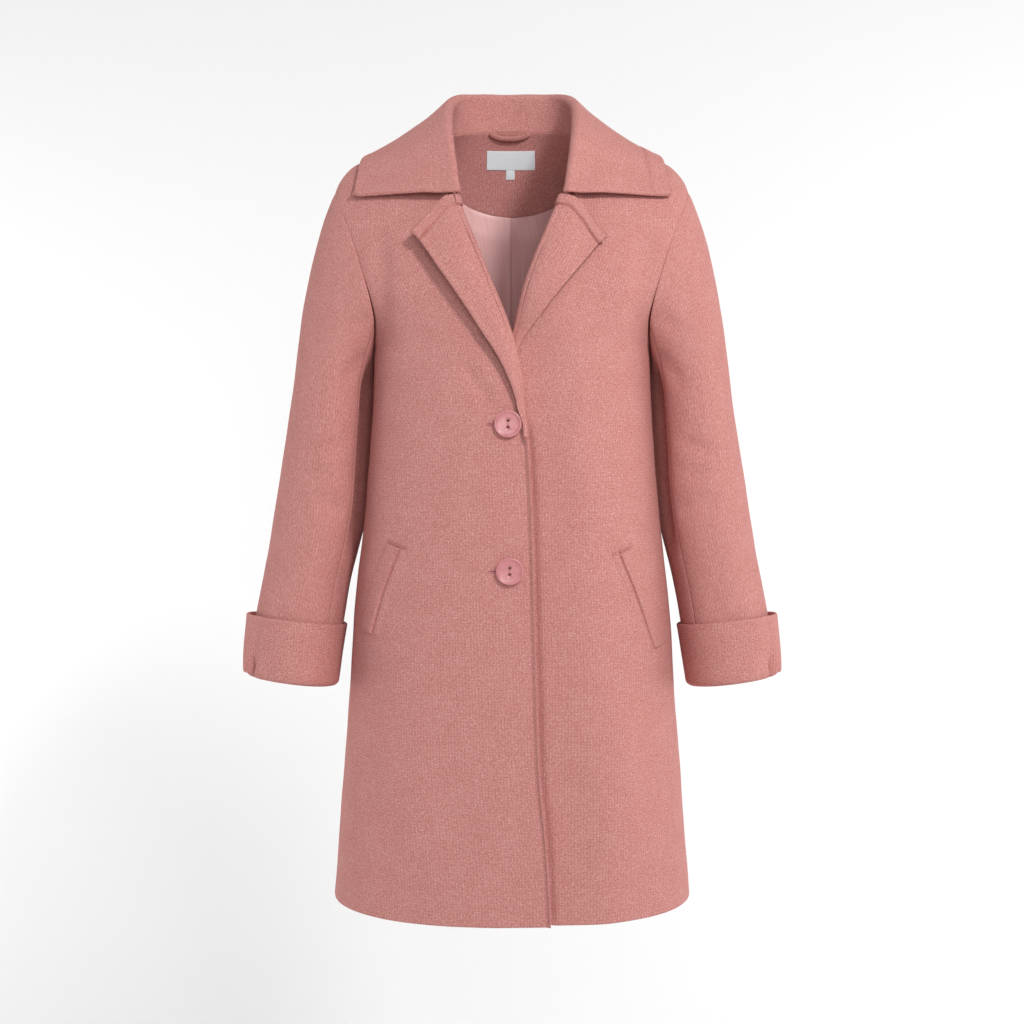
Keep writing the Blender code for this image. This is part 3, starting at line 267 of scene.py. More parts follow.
def body_frame(face, reach, level):
    """Points of the body's surface and its outward normals there."""
    reach, level = np.broadcast_arrays(np.asarray(reach, float), np.asarray(level, float))
    angle = section_angle(face, reach, level)
    points = surface(face, angle, level)
    round_it = surface(face, angle + SMALL_STEP, level) - surface(face, angle - SMALL_STEP, level)
    top = np.minimum(level + SMALL_STEP, 1.0)
    up_it = surface(face, angle, top) - surface(face, angle, top - 2 * SMALL_STEP)
    normals = np.cross(round_it, up_it)
    low = np.minimum(points[..., 2], CHEST_HEIGHT) - CENTRE_DROP
    centre = np.stack([0 * level, 0 * level, low], axis=-1)
    inward = np.sum(normals * (points - centre), axis=-1, keepdims=True) < 0
    normals = np.where(inward, -normals, normals)
    on_seam = (level > 1 - 1e-9) | ((level <= 0) & (np.abs(angle) < 1e-6))
    normals[..., 1] = np.where(on_seam, 0, normals[..., 1])
    return points, unit(normals)


def level_at(reach, height):
    above = (height - CHEST_HEIGHT) / (curve(SHOULDER, np.abs(reach), "height") - CHEST_HEIGHT)
    return np.where(height > CHEST_HEIGHT, np.clip(above, 0, 1), (height - CHEST_HEIGHT) / YOKE_DEPTH)


def level_at_angle(angle):
    face = FRONT if angle <= 90 else BACK
    power = ROLL_POWER[face]
    return face, math.sin(math.radians(angle)) ** (2 / power)


def front_relief(side, reach, height):
    """How far a front stands out: its rolled edge, or the step where it passes under the other."""
    if side == RIGHT:
        below_break = smooth_step((EDGE_ROLL_TOP - height) / EDGE_ROLL_RUN)
        past_edge = (reach - curve(EDGE[RIGHT], height, "reach")) / EDGE_ROLL_WIDTH
        return EDGE_ROLL * below_break * np.exp(-past_edge ** 2)
    past_lap = (reach + curve(EDGE[RIGHT], height, "reach") - LAP_MARGIN) / LAP_FADE
    return -LAP_STEP * (1 - smooth_step(past_lap)) * smooth_step((LAP_TOP - height) / LAP_RUN)


print("the chest's middle:", surface(FRONT, np.array(math.pi / 2), np.array(0.0)))

# %% [markdown]
# Worn wool never hangs dead flat. It drags from a button, breaks beside the armhole and ripples
# where the arm bends. Each crease here is one row of a table: where it starts and ends, how wide it
# is and how deep. A row with a depth below zero is a ridge. The rows are uneven in
# length and depth, as creases are, and the hidden back gets its own of the same kinds.

# %% Creases
Crease = namedtuple("Crease", "reach height end_reach end_height width depth")
RIGHT_FRONT_CREASES = table_of(
    Crease,
    (0.016, -0.326, 0.058, -0.262, 0.0085, 0.0034),    # drags from the upper button
    (0.014, -0.352, 0.052, -0.384, 0.0080, 0.0014),
    (0.148, -0.100, 0.139, -0.262, 0.0120, 0.0046),    # break beside the armhole
    (0.126, -0.140, 0.120, -0.310, 0.0200, -0.0026),
    (0.060, -0.215, 0.085, -0.330, 0.0200, -0.0010),
    (0.150, -0.560, 0.163, -0.800, 0.0220, 0.0030),    # folds of the skirt
    (0.105, -0.600, 0.112, -0.860, 0.0260, -0.0028),
    (0.060, -0.640, 0.058, -0.860, 0.0260, 0.0016),
    (0.002, -0.752, 0.038, -0.746, 0.0042, 0.0006),    # ripples by the lower edge
    (-0.012, -0.772, 0.026, -0.766, 0.0036, 0.0007),
    (-0.004, -0.790, 0.030, -0.783, 0.0034, 0.0005),
)
LEFT_FRONT_CREASES = table_of(
    Crease,
    (0.149, -0.108, 0.140, -0.255, 0.0115, 0.0040), (0.126, -0.140, 0.122, -0.300, 0.0200, -0.0024),
    (0.055, -0.330, 0.080, -0.420, 0.0220, -0.0012), (0.150, -0.590, 0.162, -0.820, 0.0220, 0.0028),
    (0.108, -0.580, 0.118, -0.855, 0.0270, -0.0026), (0.066, -0.650, 0.070, -0.860, 0.0240, 0.0018),
    (0.040, -0.700, 0.072, -0.694, 0.0044, 0.0004))
FRONT_CREASES = {RIGHT: RIGHT_FRONT_CREASES, LEFT: LEFT_FRONT_CREASES}
BACK_CREASES = table_of(
    Crease,
    (-0.150, -0.120, -0.128, -0.260, 0.0130, 0.0030),
    (0.148, -0.115, 0.131, -0.245, 0.0120, 0.0026),
    (-0.060, -0.300, -0.075, -0.560, 0.0300, 0.0022),
    (0.050, -0.330, 0.068, -0.610, 0.0280, 0.0020),
    (-0.120, -0.520, -0.135, -0.860, 0.0260, -0.0040),
    (-0.040, -0.600, -0.048, -0.862, 0.0280, -0.0030),
    (0.030, -0.560, 0.034, -0.862, 0.0300, 0.0032), (0.110, -0.540, 0.126, -0.862, 0.0260, -0.0036),
    (0.020, -0.250, -0.030, -0.262, 0.0120, 0.0010))
CREASE_END_SHARE = 0.35     # a crease fades over this share of its length at each end
CREASE_END_WIDTHS = 4       # or over this many of its widths, if that is shorter
WAVE_HEIGHTS = (0.00028, 0.00018)


def crease_relief(creases, reach, height):
    """How far the creases of a table move the cloth out at each place."""
    moved = np.zeros(np.broadcast(reach, height).shape)
    for crease in creases:
        run = np.array([crease.end_reach - crease.reach, crease.end_height - crease.height])
        length = np.linalg.norm(run)
        ahead = run / length
        along = (reach - crease.reach) * ahead[0] + (height - crease.height) * ahead[1]
        across = (reach - crease.reach) * ahead[1] - (height - crease.height) * ahead[0]
        ease = min(CREASE_END_SHARE * length, CREASE_END_WIDTHS * crease.width)
        ends = smooth_step(along / ease) * smooth_step((length - along) / ease)
        moved -= crease.depth * ends * hump(across / crease.width)
    return moved


def unevenness(across, along, seed):
    """The faint waviness of pressed wool: a few long waves that never line up."""
    long_wave = np.sin(across * 61 + 2.1 * seed) * np.sin(along * 43 + seed)
    short_wave = np.sin(across * 107 - along * 29 + 3.3 * seed) * np.sin(along * 83 - 1.7 * seed)
    return WAVE_HEIGHTS[0] * long_wave + WAVE_HEIGHTS[1] * short_wave


print("creases:", len(FRONT_CREASES[RIGHT]), len(FRONT_CREASES[LEFT]), len(BACK_CREASES))

# %% [markdown]
# Cloth has two faces and a soft edge. A shell is made from two equal grids of points, its outer and
# inner face, and the rim between them is rounded, so that an edge catches the light as turned wool
# does and two pieces meet in a shallow groove, which is what a seam looks like from a step away.
# Each point also gets its place on the flat cloth, in metres, for the weave to follow.

# %% Cloth shells
RIM_STEPS = 4
CLOTH_MAP = "cloth"


def run_along(grid, axis):
    steps = np.linalg.norm(np.diff(grid, axis=axis), axis=-1)
    start = np.zeros_like(np.take(steps, [0], axis=axis))
    return np.concatenate([start, np.cumsum(steps, axis=axis)], axis=axis)


def run_left(grid, axis):
    """How far each point still is from the grid's last edge."""
    run = run_along(grid, axis)
    return np.take(run, [-1], axis=axis) - run


def nearest_side(grid):
    return np.minimum(run_along(grid, 1), run_left(grid, 1))


def draw_in(grid, edges, distance):
    """The grid with its named edges moved inward along the cloth."""
    grid = grid.copy()
    by_column = grid.swapaxes(0, 1)
    for edge, lines, end, beside in (("first_row", grid, 0, 1), ("last_row", grid, -1, -2),
                                     ("first_column", by_column, 0, 1), ("last_column", by_column, -1, -2)):
        if edge in edges:
            lines[end] += unit(lines[beside] - lines[end]) * distance
    return grid


def round_corners(grid, radius, corners):
    """The grid with some of its corners rounded. A corner is a row end and a column end, 0 or -1."""
    grid = grid.copy()
    for row_end, column_end in corners:
        to_row = run_along(grid, 0) if row_end == 0 else run_left(grid, 0)
        to_column = run_along(grid, 1) if column_end == 0 else run_left(grid, 1)
        inward_row = unit(np.gradient(grid, axis=0)) * (1 if row_end == 0 else -1)
        inward_column = unit(np.gradient(grid, axis=1)) * (1 if column_end == 0 else -1)
        a = np.clip(radius - to_row, 0, None)
        b = np.clip(radius - to_column, 0, None)
        kept = np.where((a > 0) & (b > 0), np.maximum(a, b) / np.maximum(np.hypot(a, b), 1e-9), 1.0)
        grid += inward_row * (a * (1 - kept))[..., None] + inward_column * (b * (1 - kept))[..., None]
    return grid


def grid_normals(grid, wrap=False):
    along = np.gradient(grid, axis=0)
    if wrap:
        across = np.roll(grid, -1, axis=1) - np.roll(grid, 1, axis=1)
    else:
        across = np.gradient(grid, axis=1)
    return unit(np.cross(along, across))


print("helpers for grids: run_along, run_left, draw_in, round_corners, grid_normals")

# %% The rim of a shell


def rim_walk(rows, columns, wrap):
    """The rim's points in order as row, column and the way out of the cloth there."""
    first = [(0, column, -1, 0) for column in range(columns)]
    last = [(rows - 1, column, 1, 0) for column in range(columns)]
    if wrap:
        return [first, last]
    right = [(row, columns - 1, 0, 1) for row in range(1, rows - 1)]
    left = [(row, 0, 0, -1) for row in range(rows - 2, 0, -1)]
    return [first + right + last[::-1] + left]


print("places on the rim of a grid of 4 by 5:", len(rim_walk(4, 5, False)[0]))

# %% Meshes and pieces


def new_piece(name, mesh, finish, slot, *nodes):
    """Link a mesh as a piece that rides on the coat and stands for its nodes."""
    made = bpy.data.objects.new(name, mesh)
    bpy.context.collection.objects.link(made)
    mesh.materials.append(finish)
    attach(made, "root")
    if nodes:
        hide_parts(*nodes)
    return made


def quads_between(ring, next_ring):
    return np.stack([ring, np.roll(ring, -1), np.roll(next_ring, -1), next_ring], axis=-1)


def closed_mesh(name, points, faces, places=None):
    """A smooth mesh whose faces look outward. Places hold a spot on the cloth for each face corner."""
    mesh = bpy.data.meshes.new(name)
    mesh.from_pydata(points.tolist(), [], faces)
    if places is not None:
        mesh.uv_layers.new(name=CLOTH_MAP)
        mesh.uv_layers[CLOTH_MAP].data.foreach_set("uv", np.asarray(places).reshape(-1))
    turned = bmesh.new()
    turned.from_mesh(mesh)
    bmesh.ops.recalc_face_normals(turned, faces=turned.faces)
    turned.to_mesh(mesh)
    turned.free()
    mesh.shade_smooth()
    return mesh


print("the cloth map is called", CLOTH_MAP)

# %% A shell from two grids


def cloth_mesh(name, outer, inner, bulge, wrap=False):
    """A closed cloth wall with a rounded rim. Bulge is how far the rim stands out of the grids."""
    rows, columns = outer.shape[:2]
    count = rows * columns
    place = np.stack([run_along(outer, 1), run_along(outer, 0)], axis=-1)
    points = [outer.reshape(-1, 3), inner.reshape(-1, 3)]
    places = [place.reshape(-1, 2), place.reshape(-1, 2)]
    row, column = np.mgrid[0:rows - 1, 0:columns if wrap else columns - 1]
    corners = [(row, column), (row, column + 1), (row + 1, column + 1), (row + 1, column)]
    quads = np.stack([r * columns + c % columns for r, c in corners], axis=-1).reshape(-1, 4)
    faces = [quads, quads[:, ::-1] + count]
    total = 2 * count
    for walk in rim_walk(rows, columns, wrap):
        walk = np.array(walk)
        r, c, out_row, out_column = walk.T
        inside_row = np.clip(r - out_row, 0, rows - 1)
        inside_column = np.clip(c - out_column, 0, columns - 1)
        way_out = unit(outer[r, c] - outer[inside_row, inside_column])
        if not wrap:
            for row_end, next_row in ((0, 1), (rows - 1, rows - 2)):
                for column_end, next_column in ((0, 1), (columns - 1, columns - 2)):
                    corner = np.flatnonzero((r == row_end) & (c == column_end))[0]
                    both = (unit(outer[row_end, column_end] - outer[next_row, column_end])
                            + unit(outer[row_end, column_end] - outer[row_end, next_column]))
                    way_out[corner] = unit(both)
        middle = (outer[r, c] + inner[r, c]) / 2
        half = (outer[r, c] - inner[r, c]) / 2
        ring_before = r * columns + c
        size = len(walk)
        for step in range(1, RIM_STEPS + 1):
            turn = math.pi * step / (RIM_STEPS + 1)
            ring = middle + half * math.cos(turn) + way_out * bulge * math.sin(turn)
            lean = np.stack([out_column, out_row], axis=-1) * np.linalg.norm(half, axis=-1)[:, None]
            points.append(ring)
            places.append(place[r, c] + lean * turn)
            ring_now = total + np.arange(size)
            faces.append(quads_between(ring_before, ring_now))
            ring_before = ring_now
            total += size
        faces.append(quads_between(ring_before, count + r * columns + c))
    points = np.concatenate(points)
    faces = np.concatenate(faces)
    places = np.concatenate(places)[faces]
    if wrap:
        jump = places[..., 0].max(axis=1, keepdims=True) - places[..., 0] > place[..., 0].max() / 2
        girth = np.linalg.norm(outer[0, 0] - outer[0, -1]) + place[..., 0].max()
        places[..., 0] += jump * girth
    return closed_mesh(name, points, faces.tolist(), places)


print("rim steps:", RIM_STEPS)

# %% The size a piece was cut to


def declare_cloth(piece, outer, wrap=False):
    """Say what size the piece was cut to, from its grid of points."""
    closed = np.concatenate([outer, outer[:, :1]], axis=1) if wrap else outer
    width = float(run_along(closed, 1)[:, -1].max())
    length = float(run_along(closed, 0)[-1].max())
    a = closed[1:, 1:] - closed[:-1, :-1]
    b = closed[1:, :-1] - closed[:-1, 1:]
    area = float(np.linalg.norm(np.cross(a, b), axis=-1).sum() / 2)
    area = min(area, width * length)
    print(f"{piece.name}: {width:.3f} by {length:.3f} m, {area:.4f} square metres")


def mirrored(grid, side):
    return grid * np.array([side, 1, 1])


print("a place and its mirror image:", (0.1, 0.0, 0.0), mirrored(np.array([0.1, 0.0, 0.0]), RIGHT))

# %% [markdown]
# One small function adds a node, sets its values and links its inputs, and every finish below is
# built from it. Colours are picked as the eye sees them, in sRGB hex, and turned to the linear
# values that the shader works in.

# %% Colours and nodes


def linear(hex_colour):
    channels = [int(hex_colour[place:place + 2], 16) / 255 for place in (1, 3, 5)]
    return [c / 12.92 if c <= 0.04045 else ((c + 0.055) / 1.055) ** 2.4 for c in channels] + [1.0]


def add_node(tree, kind, settings=None, links=None, stops=()):
    """Add a node, set its properties and inputs by name, link outputs into it, and colour its stops."""
    node = tree.nodes.new(kind)
    for name, value in (settings or {}).items():
        if isinstance(name, str) and hasattr(node, name):
            setattr(node, name, value)
        else:
            node.inputs[name].default_value = value
    for name, output in (links or {}).items():
        tree.links.new(output, node.inputs[name])
    for place, (position, hex_colour) in enumerate(stops):
        ramp = node.color_ramp.elements
        stop = ramp[place] if place < len(ramp) else ramp.new(position)
        stop.position = position
        stop.color = linear(hex_colour)
    return node


def start_finish(name, sockets):
    """A material with its shader's own sockets set, and its node tree."""
    finish = bpy.data.materials.new(name)
    finish.use_nodes = True
    shader = finish.node_tree.nodes["Principled BSDF"]
    for socket, value in sockets.items():
        shader.inputs[socket].default_value = value
    return finish, finish.node_tree


def put_on(finish, shade, stops, relief=None, strength=0.0, distance=0.0):
    """Colour the finish by a shade between its stops, and raise it by a relief in metres."""
    tree = finish.node_tree
    shader = tree.nodes["Principled BSDF"]
    colour = add_node(tree, "ShaderNodeValToRGB", links={"Fac": shade}, stops=stops)
    tree.links.new(colour.outputs["Color"], shader.inputs["Base Color"])
    if relief:
        bump = add_node(tree, "ShaderNodeBump", {"Strength": strength, "Distance": distance},
                        {"Height": relief})
        tree.links.new(bump.outputs[0], shader.inputs["Normal"])
    return finish


print("the wool's middle pink in linear light:", linear("#be7c76"))

# %% [markdown]
# The cloth is boiled wool: a knitted wool fabric, washed hot until its fibres felt together.
# The yarn was spun from fibres of three pinks, so the face is a mottle of dark, middle and pale
# specks, and the old knit still shows as faint upright ribs. It has no shine, but loose fibre ends
# on the surface give its edges a soft light, which is what sheen stands for in the shader.
# Real loops are about 1.6 mm across, close to the smallest thing the picture can show.

# %% Boiled wool, knitted and felted
LOOP_SIZE = 0.0016          # one felted loop
RIB_SPACING = 0.0034        # drawn a little coarser than the real ribs, so that they still show
COURSE_SPACING = 0.0032     # rows of loops, fainter than the ribs
SLUB_SIZE = 0.030           # slow changes from one stretch of yarn to the next
LOOP_WANDER = 0.0007        # how far felting pulled the loops out of line
WAVE_TURNS = math.pi / 10   # a wave texture's scale, times its band spacing


def make_boiled_wool():
    finish, tree = start_finish("boiled_wool_melange", {
        "Roughness": 0.95, "Specular IOR Level": 0.2, "Sheen Weight": 0.07, "Sheen Roughness": 0.4,
        "Sheen Tint": linear("#f3c9bf")})
    place = add_node(tree, "ShaderNodeUVMap", {"uv_map": CLOTH_MAP}).outputs["UV"]
    wander = add_node(tree, "ShaderNodeTexNoise", {"Scale": 0.4 / LOOP_SIZE, "Detail": 1.0},
                      {"Vector": place}).outputs["Color"]
    shift = add_node(tree, "ShaderNodeVectorMath", {"operation": "MULTIPLY_ADD"}, {0: wander, 2: place})
    shift.inputs[1].default_value = (LOOP_WANDER, LOOP_WANDER, 0.0)
    bent = shift.outputs[0]
    loops = add_node(tree, "ShaderNodeTexNoise",
                     {"Scale": 1 / LOOP_SIZE, "Detail": 4.0, "Roughness": 0.7},
                     {"Vector": bent}).outputs["Fac"]
    cells = add_node(tree, "ShaderNodeTexVoronoi", {"Scale": 1 / LOOP_SIZE},
                     {"Vector": bent})
    yarn = add_node(tree, "ShaderNodeSeparateColor", links={"Color": cells.outputs["Color"]})
    ribs = add_node(tree, "ShaderNodeTexWave", {"Scale": WAVE_TURNS / RIB_SPACING},
                    {"Vector": bent}).outputs["Fac"]
    courses = add_node(tree, "ShaderNodeTexWave",
                       {"bands_direction": "Y", "Scale": WAVE_TURNS / COURSE_SPACING},
                       {"Vector": bent}).outputs["Fac"]
    slubs = add_node(tree, "ShaderNodeTexNoise", {"Scale": 1 / SLUB_SIZE, "Detail": 2.0},
                     {"Vector": place}).outputs["Fac"]
    shade = loops
    for part, share in ((yarn.outputs["Red"], 0.12), (ribs, 0.055), (courses, 0.03), (slubs, 0.08)):
        shade = add_node(tree, "ShaderNodeMath", {"operation": "MULTIPLY_ADD", 1: share},
                         {0: part, 2: shade}).outputs[0]
    relief = add_node(tree, "ShaderNodeMath", {"operation": "MULTIPLY_ADD", 1: 0.13},
                      {0: ribs, 2: loops}).outputs[0]
    return put_on(finish, shade, WOOL_PINKS, relief, 0.5, 0.0009)


WOOL_PINKS = (
    (0.40, "#a4625e"),
    (0.57, "#be7c76"),
    (0.70, "#ca8c86"),
    (0.90, "#e2b7b0"),
)
WOOL = make_boiled_wool()
print("finish:", WOOL.name)

# %% [markdown]
# The lining is polyester satin. Its weave floats most threads over the face, so it is smooth, with a
# broad soft highlight along the folds. The threads are a tenth of a millimetre, too fine to show,
# so only a faint upright streak is drawn.

# %% Woven satin
STREAK_SIZE = 0.0018
STREAKS_A_METRE = 12.0      # along the thread, where the streaks are long


def make_satin():
    finish, tree = start_finish("polyester_satin", {"Roughness": 0.42, "Sheen Weight": 0.15})
    place = add_node(tree, "ShaderNodeUVMap", {"uv_map": CLOTH_MAP}).outputs["UV"]
    drawn = add_node(tree, "ShaderNodeMapping", {"Scale": (1 / STREAK_SIZE, STREAKS_A_METRE, 1.0)},
                     {"Vector": place})
    streak = add_node(tree, "ShaderNodeTexNoise", {"Scale": 1.0, "Detail": 2.0},
                      {"Vector": drawn.outputs[0]}).outputs["Fac"]
    return put_on(finish, streak, ((0.30, "#e8afad"), (0.70, "#f0bfbc")), streak, 0.12, 0.0003)


SATIN = make_satin()
print("finish:", SATIN.name)

# %% [markdown]
# The label is a bare strip of woven polyester tape, off-white and matte with a fine crosswise rib.
# The sewing thread is spun polyester, a shade darker than the wool. The buttons are cast polyester
# resin: a clouded pink, turned on a lathe and tumbled to a half gloss.

# %% Label tape, thread and resin
TAPE_RIB = 0.0012
STRAND_SIZE = 1 / 2200      # one twisted strand of the thread
CLOUD_SIZE = 1 / 160        # one cloud in the resin


def make_label_tape():
    finish, tree = start_finish("woven_label_tape", {"Roughness": 0.75})
    place = add_node(tree, "ShaderNodeUVMap", {"uv_map": CLOTH_MAP}).outputs["UV"]
    ribs = add_node(tree, "ShaderNodeTexWave",
                    {"bands_direction": "Y", "Scale": WAVE_TURNS / TAPE_RIB, "Distortion": 0.4},
                    {"Vector": place}).outputs["Fac"]
    return put_on(finish, ribs, ((0.0, "#e4edf1"), (1.0, "#f0f7fb")), ribs, 0.3, 0.0002)


def make_mottled(name, sockets, noise, stops):
    """A finish that wanders between its stops, in clouds or strands, through the whole solid."""
    finish, tree = start_finish(name, sockets)
    place = add_node(tree, "ShaderNodeTexCoord").outputs["Object"]
    mottle = add_node(tree, "ShaderNodeTexNoise", noise, {"Vector": place}).outputs["Fac"]
    return put_on(finish, mottle, stops)


STRANDS = {"Scale": 1 / STRAND_SIZE, "Detail": 1.0}
LABEL_TAPE = make_label_tape()
THREAD = make_mottled("spun_polyester_thread", {"Roughness": 0.7}, STRANDS,
                      ((0.35, "#b97679"), (0.65, "#cf8b90")))
# The buttonhole's dark strip is painted shade: a near-black colour that stands in for the shadow inside the
# open slit.
SLIT_SHADE = make_mottled("painted_buttonhole_shade", {"Roughness": 0.7}, STRANDS,
                           ((0.35, "#5b2a29"), (0.65, "#7a403d")))
RESIN = make_mottled(
    "cast_polyester_resin",
    {"Roughness": 0.34, "IOR": 1.55, "Coat Weight": 0.25, "Coat Roughness": 0.2},
    {"Scale": 1 / CLOUD_SIZE, "Detail": 3.0}, ((0.30, "#c2777a"), (0.70, "#d0888b")))
print("finishes:", LABEL_TAPE.name, THREAD.name, RESIN.name)

# %% [markdown]
# Every piece of cloth below is made in the same three steps: a shell from its two grids of points,
# its place on the frame, and the size that it was cut to. A piece that is worn on both sides is
# worked out once, on the wearer's left, and mirrored for the right.

# %% One piece of cloth


def make_cloth(node, outer, inner, bulge, held, rests_on, side=LEFT, finish=WOOL, slot="wool", wrap=False):
    mesh = cloth_mesh(node, mirrored(outer, side), mirrored(inner, side), bulge, wrap)
    piece = new_piece("cloth_" + node, mesh, finish, slot, node)
    declare_cloth(piece, outer, wrap)


print("sides:", SIDE_WORD)

# %% [markdown]
# The fronts are cut as two panels. The wearer's right one laps over the left, and is doubled by its
# facing, so its edge is twice as thick and slightly rolled. A line of stitches 6 mm in holds that
# roll, and shows as a shallow groove down the whole edge, with a soft ridge outside it.

# %% The fronts
ROW_STEP = 0.0035
ARMHOLE_STEPS = 70
EDGE_COLUMNS = np.array([0.0, 0.0012, 0.0022, 0.0032, 0.0042, 0.0050,
                         0.0058, 0.0066, 0.0076, 0.0090, 0.0110, 0.0140])
LAP_COLUMNS = np.array([-0.0035, -0.0022, -0.0010, 0.0002, 0.0014,
                        0.0028, 0.0044, 0.0062, 0.0084, 0.0110])
UNDER_COLUMNS = 8
UNDER_LEAST = 0.012         # least width of the part of the lower front that lies under the lap
UNDER_END = 0.005
PANEL_COLUMNS = 68
EDGE_GROOVE = 0.0056        # from the edge to the line of stitches
EDGE_GROOVE_DEPTH = 0.0004
EDGE_GROOVE_WIDTH = 0.0016
EDGE_RIDGE = 0.0022         # the pressed edge stands up between its stitches and its end
EDGE_RIDGE_PLACE = 0.0020
LAP_HOLLOW = 0.0034         # the lower front sinks this much beside the upper one's edge
LAP_HOLLOW_PLACE = 0.0008
LAP_HOLLOW_WIDTHS = (0.0045, 0.0030)    # outside the upper edge and under it
SEAM_BULGE = 0.0007         # rounding of an edge that meets another piece
EDGE_BULGE = 0.0018         # rounding of a free edge
SEAM_DIP = 0.0004           # cloth sinks this much towards a seam
SEAM_DIP_WIDTH = 0.004


def armhole_levels(face, steps):
    dense = np.linspace(0, 1, 600) ** 2
    points = body_frame(face, curve(ARMHOLE, dense, "reach"), dense)[0]
    run = np.concatenate([[0], np.cumsum(np.linalg.norm(np.diff(points, axis=0), axis=1))])
    return np.interp(np.linspace(0, run[-1], steps + 1), run, dense)


LOWER_HEIGHTS = np.arange(-0.865, CHEST_HEIGHT - ROW_STEP / 2, ROW_STEP)
LOWER_LEVELS = (LOWER_HEIGHTS - CHEST_HEIGHT) / YOKE_DEPTH


def cloth_edge(side, height):
    """Reach of a front's cut edge. Above the break it lies inside the lapel's roll."""
    edge = curve(EDGE[side], height, "reach")
    rolled = smooth_step((height - ROLL_START[side]) / ROLL_EASE + 1)
    rolled = rolled * (1 - smooth_step((height - GORGE_HEIGHT) / GORGE_EASE))
    edge = edge + (ROLL_REACH + ROLL_SLACK) * rolled
    at_neck = smooth_step((height - NECK_CUT_BELOW) / NECK_CUT_EASE)
    return edge + np.maximum(NECK_CUT - edge, 0) * at_neck


print("levels below the chest:", len(LOWER_LEVELS), "right edge at the hem:", cloth_edge(RIGHT, -0.865))

# %% Where a front's points lie


def front_grid(side):
    """Reach and level of a front's points, with columns close together where its shape is fine."""
    levels = np.concatenate([LOWER_LEVELS, armhole_levels(FRONT, ARMHOLE_STEPS)])
    edge = np.full(levels.shape, 0.03)
    for attempt in range(40):      # the edge's reach and its height settle together
        above = levels * (curve(SHOULDER, np.abs(edge), "height") - CHEST_HEIGHT)
        height = CHEST_HEIGHT + np.where(levels > 0, above, levels * YOKE_DEPTH)
        edge = 0.5 * edge + 0.5 * cloth_edge(side, height)
    seam = np.where(levels > 0, curve(ARMHOLE, levels, "reach"), half_width(FRONT, levels))
    near = edge[:, None] + EDGE_COLUMNS[None]
    if side == LEFT:
        lap = np.maximum(-curve(EDGE[RIGHT], height, "reach"), near[:, -1] + UNDER_LEAST)
        wide = (lap - UNDER_END - near[:, -1])[:, None]
        under = near[:, -1:] + wide * np.linspace(0, 1, UNDER_COLUMNS + 1)[1:]
        near = np.concatenate([near, under, lap[:, None] + LAP_COLUMNS[None]], axis=1)
    start = section_angle(FRONT, near[:, -1], levels)
    end = section_angle(FRONT, seam, levels)
    share = np.linspace(0, 1, PANEL_COLUMNS + 1)[1:]
    angles = start[:, None] + (end - start)[:, None] * share
    far = half_width(FRONT, levels)[:, None] * signed_power(np.cos(angles), 2 / SECTION_POWER)
    reaches = np.concatenate([near, far], axis=1)
    return reaches, np.repeat(levels[:, None], reaches.shape[1], axis=1)


print("rows and columns of a front:", front_grid(RIGHT)[0].shape)

# %% Both fronts


def make_front(side):
    reaches, levels = front_grid(side)
    points, normals = body_frame(FRONT, reaches, levels)
    heights = points[..., 2]
    lift = front_relief(side, reaches, heights)
    lift = lift + crease_relief(FRONT_CREASES[side], reaches, heights)
    lift = lift + unevenness(reaches, heights, side)
    lift = lift - SEAM_DIP * hump(run_left(points, 1) / SEAM_DIP_WIDTH)
    thickness = np.full(reaches.shape, WALL)
    past_edge = reaches - side * RIGHT * curve(EDGE[RIGHT], heights, "reach")
    if side == LEFT:
        below = smooth_step((EDGE_ROLL_TOP - heights) / EDGE_ROLL_RUN)
        past = past_edge - LAP_HOLLOW_PLACE
        lift = lift - LAP_HOLLOW * below * hump(past / np.where(past > 0, *LAP_HOLLOW_WIDTHS))
    if side == RIGHT:
        to_break = (ROLL_START[RIGHT] - heights) / FACING_FADE
        groove = EDGE_GROOVE_DEPTH * hump((past_edge - EDGE_GROOVE) / EDGE_GROOVE_WIDTH)
        ridge = EDGE_RIDGE * hump((past_edge - EDGE_RIDGE_PLACE) / EDGE_RIDGE_PLACE)
        lift = lift + smooth_step(to_break) * (ridge - groove)
        past = (past_edge - FACING_WIDTH) / FACING_FADE
        doubled = (1 - smooth_step(past)) * smooth_step(to_break - 1)
        thickness = WALL * (1 + doubled)
    outer = points + normals * lift[..., None]
    outer = draw_in(outer, ("last_column", "last_row"), SEAM_BULGE)
    outer = draw_in(outer, ("first_row", "first_column"), EDGE_BULGE)
    inner = outer - normals * thickness[..., None]
    make_cloth("front_" + SIDE_WORD[side], outer, inner, EDGE_BULGE, "hung", ["back"], side)


for side in (RIGHT, LEFT):
    make_front(side)

# %% [markdown]
# The back is one wide panel, cut on the fold so that it needs no seam down its middle. Its upper
# edge follows the neck seam under the collar and the two shoulder seams.

# %% The back
BACK_COLUMNS = 62
NECK_SEAM_END = 0.62        # share of the collar's run where its seam meets the shoulder seam
SEAM_INSET = 0.0002


def neck_level(reach):
    shares = np.linspace(0, NECK_SEAM_END, 90)
    seam = curve(COLLAR, shares, "neck_reach")
    levels = np.sin(np.radians(curve(COLLAR, shares, "neck_angle"))) ** (2 / ROLL_POWER[BACK])
    return np.interp(reach, seam, levels, right=1.0)


